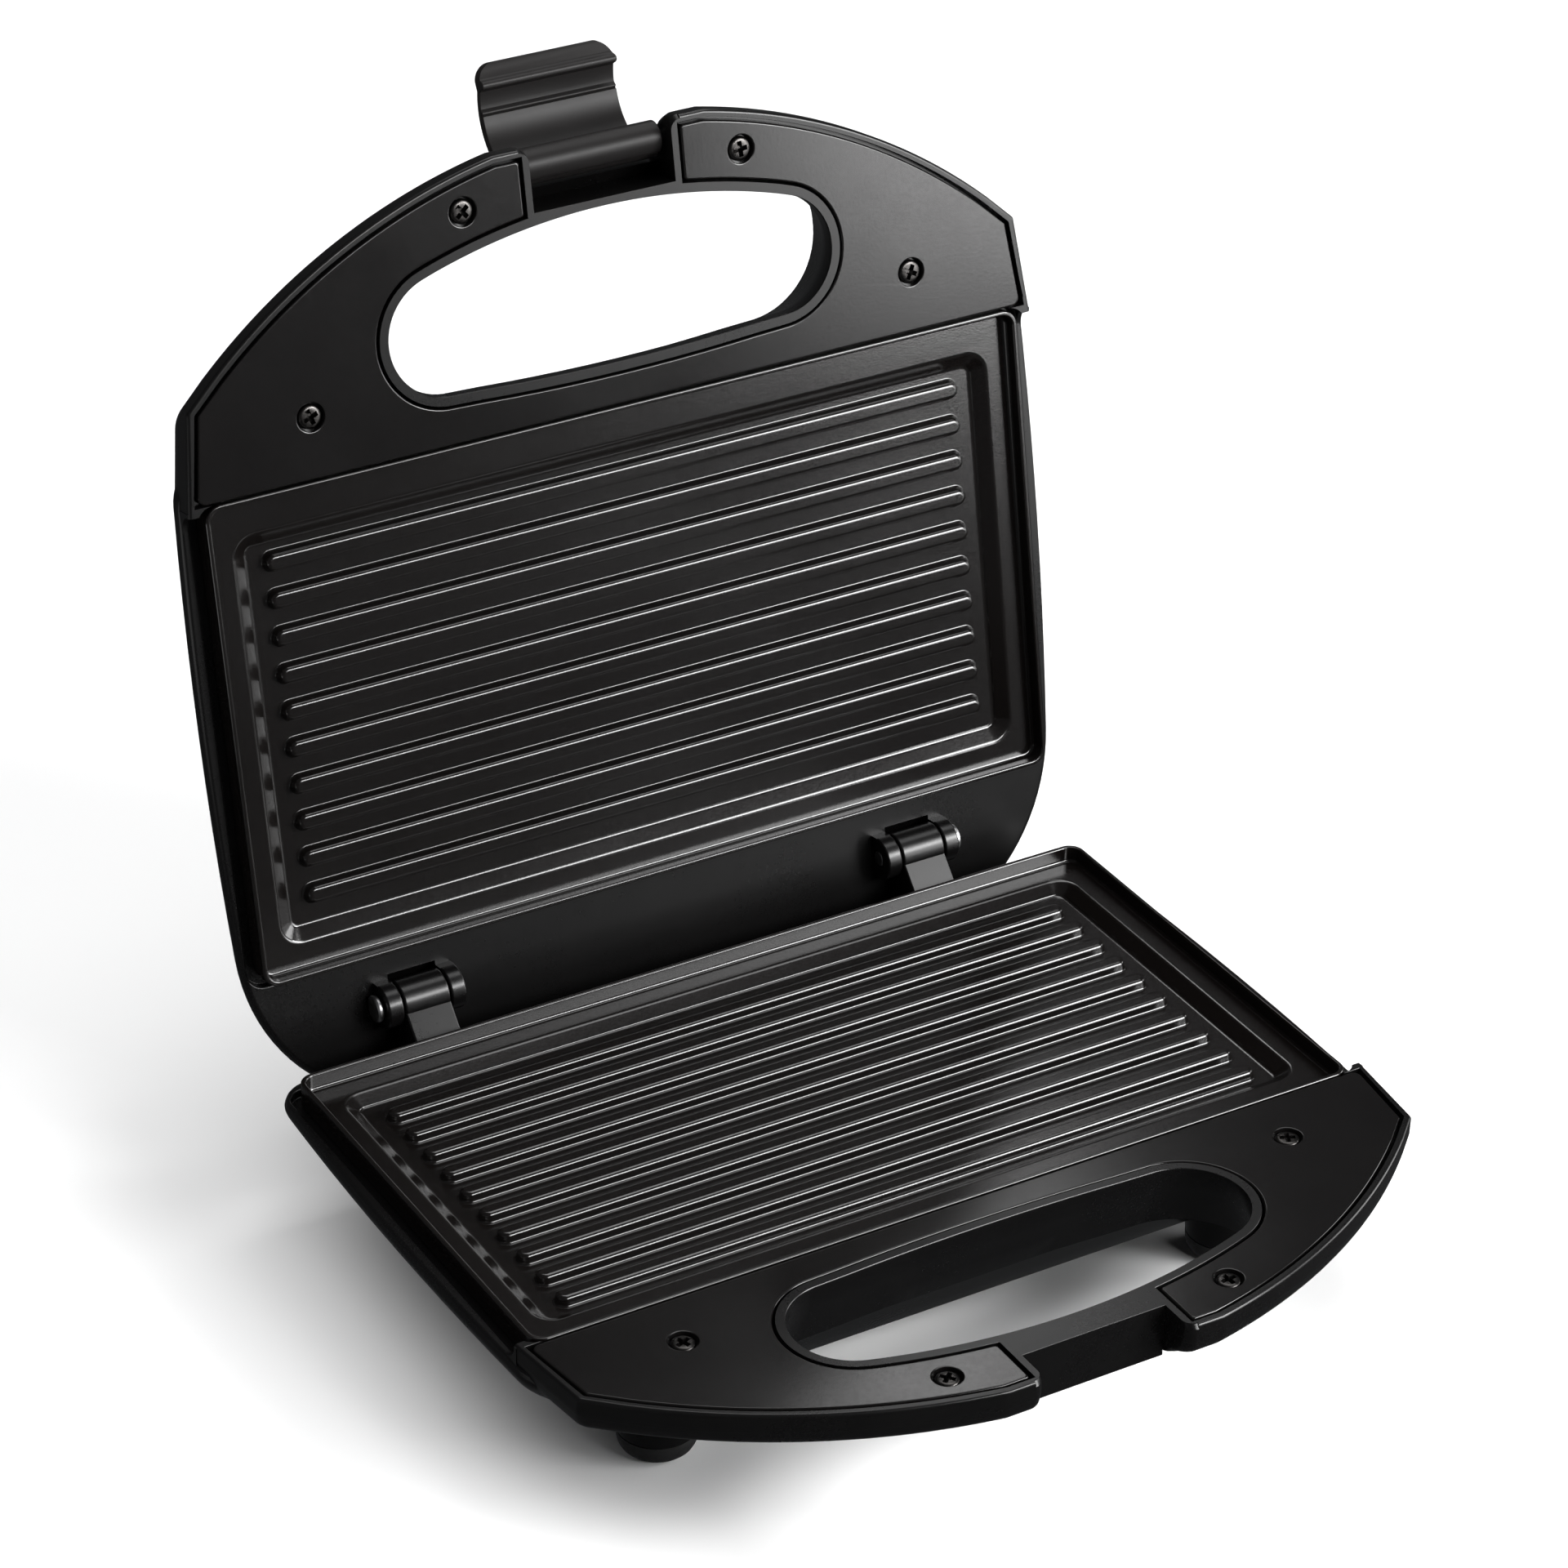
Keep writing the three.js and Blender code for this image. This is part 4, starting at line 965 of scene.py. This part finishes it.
dress_half("base", BASE, 1, base_shell)
dress_half("lid", LID, -1, lid_shell)
dress(latch(), "latch", LATCH, "latch", "black_plastic", SATIN)
dress(axle(PIN_RADIUS, -PIN_HALF, PIN_HALF, LATCH_U, -LATCH_RISE, 0.3), "latch_pin", LID, "lid",
      "steel")
dress(lamp_lens(LAMP_X), "power_lamp_lens", LID, "lid", "red_lens")
dress(lamp_lens(-LAMP_X), "ready_lamp_lens", LID, "lid", "green_lens")
for end, (x, u) in (("front", FOOT_FRONT), ("rear", FOOT_REAR)):
    dress(foot(-x, u), f"foot_{end}_left", BASE, "base", "rubber")
    dress(foot(x, u), f"foot_{end}_right", BASE, "base", "rubber")
for (x, u), name in zip(bottom_wells(), CORNERS):
    dress(screw(3.2, 28.3, 12, x, u, 30, True), f"bottom_screw_{name}", BASE, "base",
          "black_steel")
for side, name in ((-1, "left"), (1, "right")):
    dress(hinge_pin(side), f"hinge_pin_{name}", BASE, "base", "steel")
dress(bush(FLANGE, BARREL, BORE), "cord_inlet_bush", BASE, "base", "rubber")

# The pieces under the plates keep their CAD meshes.
kept_slots = {"heating_element": "steel", "heat_shield": "aluminised", "thermostat": "ceramic",
              "plate_screw": "steel", "thermal_fuse": "steel", "terminal_block": "ceramic",
              "lead_sleeve": "glass_sleeve", "_lamp": "neon_glass"}
for name, node in frame["nodes"].items():
    for part, slot in kept_slots.items():
        if part in name and not name.endswith("lens"):
            node.data.materials.clear()
            node.data.materials.append(SLOT_LOOKS[slot])

# ---- floor, light and camera -------------------------------------------------------------


def stage_floor():
    """A pale matt floor, left out of the glossy reflections."""
    n = Nodes("floor_fine")
    n.colour(n.noise(3, 2), (0.86, 0.86, 0.86), (0.9, 0.9, 0.9))
    n.set(Roughness=0.75)
    mesh = bpy.data.meshes.new("floor")
    mesh.from_pydata([(-8, -8, 0), (8, -8, 0), (8, 8, 0), (-8, 8, 0)], [], [(0, 1, 2, 3)])
    mesh.materials.append(n.material)
    floor = bpy.data.objects.new("floor", mesh)
    floor.visible_glossy = False
    scene.collection.objects.link(floor)


def softbox(name, at, target, width, height, power):
    """A soft area light, aimed at a point; all in metres and watts."""
    data = bpy.data.lights.new(name, "AREA")
    data.shape = "RECTANGLE"
    data.size = width
    data.size_y = height
    data.energy = power
    lamp = bpy.data.objects.new(name, data)
    lamp.location = at
    lamp.rotation_euler = (Vector(target) - Vector(at)).to_track_quat("-Z", "Y").to_euler()
    scene.collection.objects.link(lamp)
    return lamp


stage_floor()
# The first two light the whole scene, the next four are mirrored by the press's faces, and the
# bounces stand in for light off the table in front of and beside the press.
softbox("overhead", (0.5, 0.38, 1.5), (0.1, 0.2, 0), 1.2, 0.6, 7)
softbox("fill", (-0.5, 0.35, 2.3), (0, 0, 0), 3.0, 3.0, 66).visible_glossy = False
softbox("front_right", (0.848, -0.958, 0.524), (0.108, 0.062, 0.108), 0.46, 1.1, 17.7)
softbox("strip", (0.52, -0.86, 0.6), (0.0, 0.09, 0.13), 0.9, 0.22, 13)
softbox("right", (1.15, -0.2, 0.3), (0, 0.05, 0.1), 0.5, 0.5, 5)
softbox("back_right", (0.40, 0.56, 0.64), (-0.03, -0.115, 0.042), 0.12, 0.13, 0.25)
for side, power in ((-0.75, 1.6), (0.7, 1.3)):
    bounce = softbox("bounce", (side, -0.1, 0.004), (side, -0.1, 1), 0.5, 0.7, power)
    bounce.visible_camera = False

world = bpy.data.worlds.new("studio")
world.use_nodes = True
world.node_tree.nodes["Background"].inputs["Color"].default_value = (0.9, 0.92, 0.95, 1)
world.node_tree.nodes["Background"].inputs["Strength"].default_value = 0.06
scene.world = world
scene.view_settings.view_transform = "Standard"

# The camera stands at the front left, above the press. Its axes in the shared frame:
right = Vector((0.86390, -0.50358, 0.00901))
down = Vector((-0.24907, -0.44271, -0.86138))
ahead = Vector((0.43776, 0.74190, -0.50788))
data = bpy.data.cameras.new("camera")
data.lens = 121.0
data.sensor_width = 36.0
data.clip_start = 0.05
camera = bpy.data.objects.new("camera", data)
turn = Matrix((right, -down, -ahead)).transposed()
camera.matrix_world = (Matrix.Translation(Vector((-538.16, -897.30, 735.62)) * MM)
                       @ turn.to_4x4())
scene.collection.objects.link(camera)
scene.camera = camera
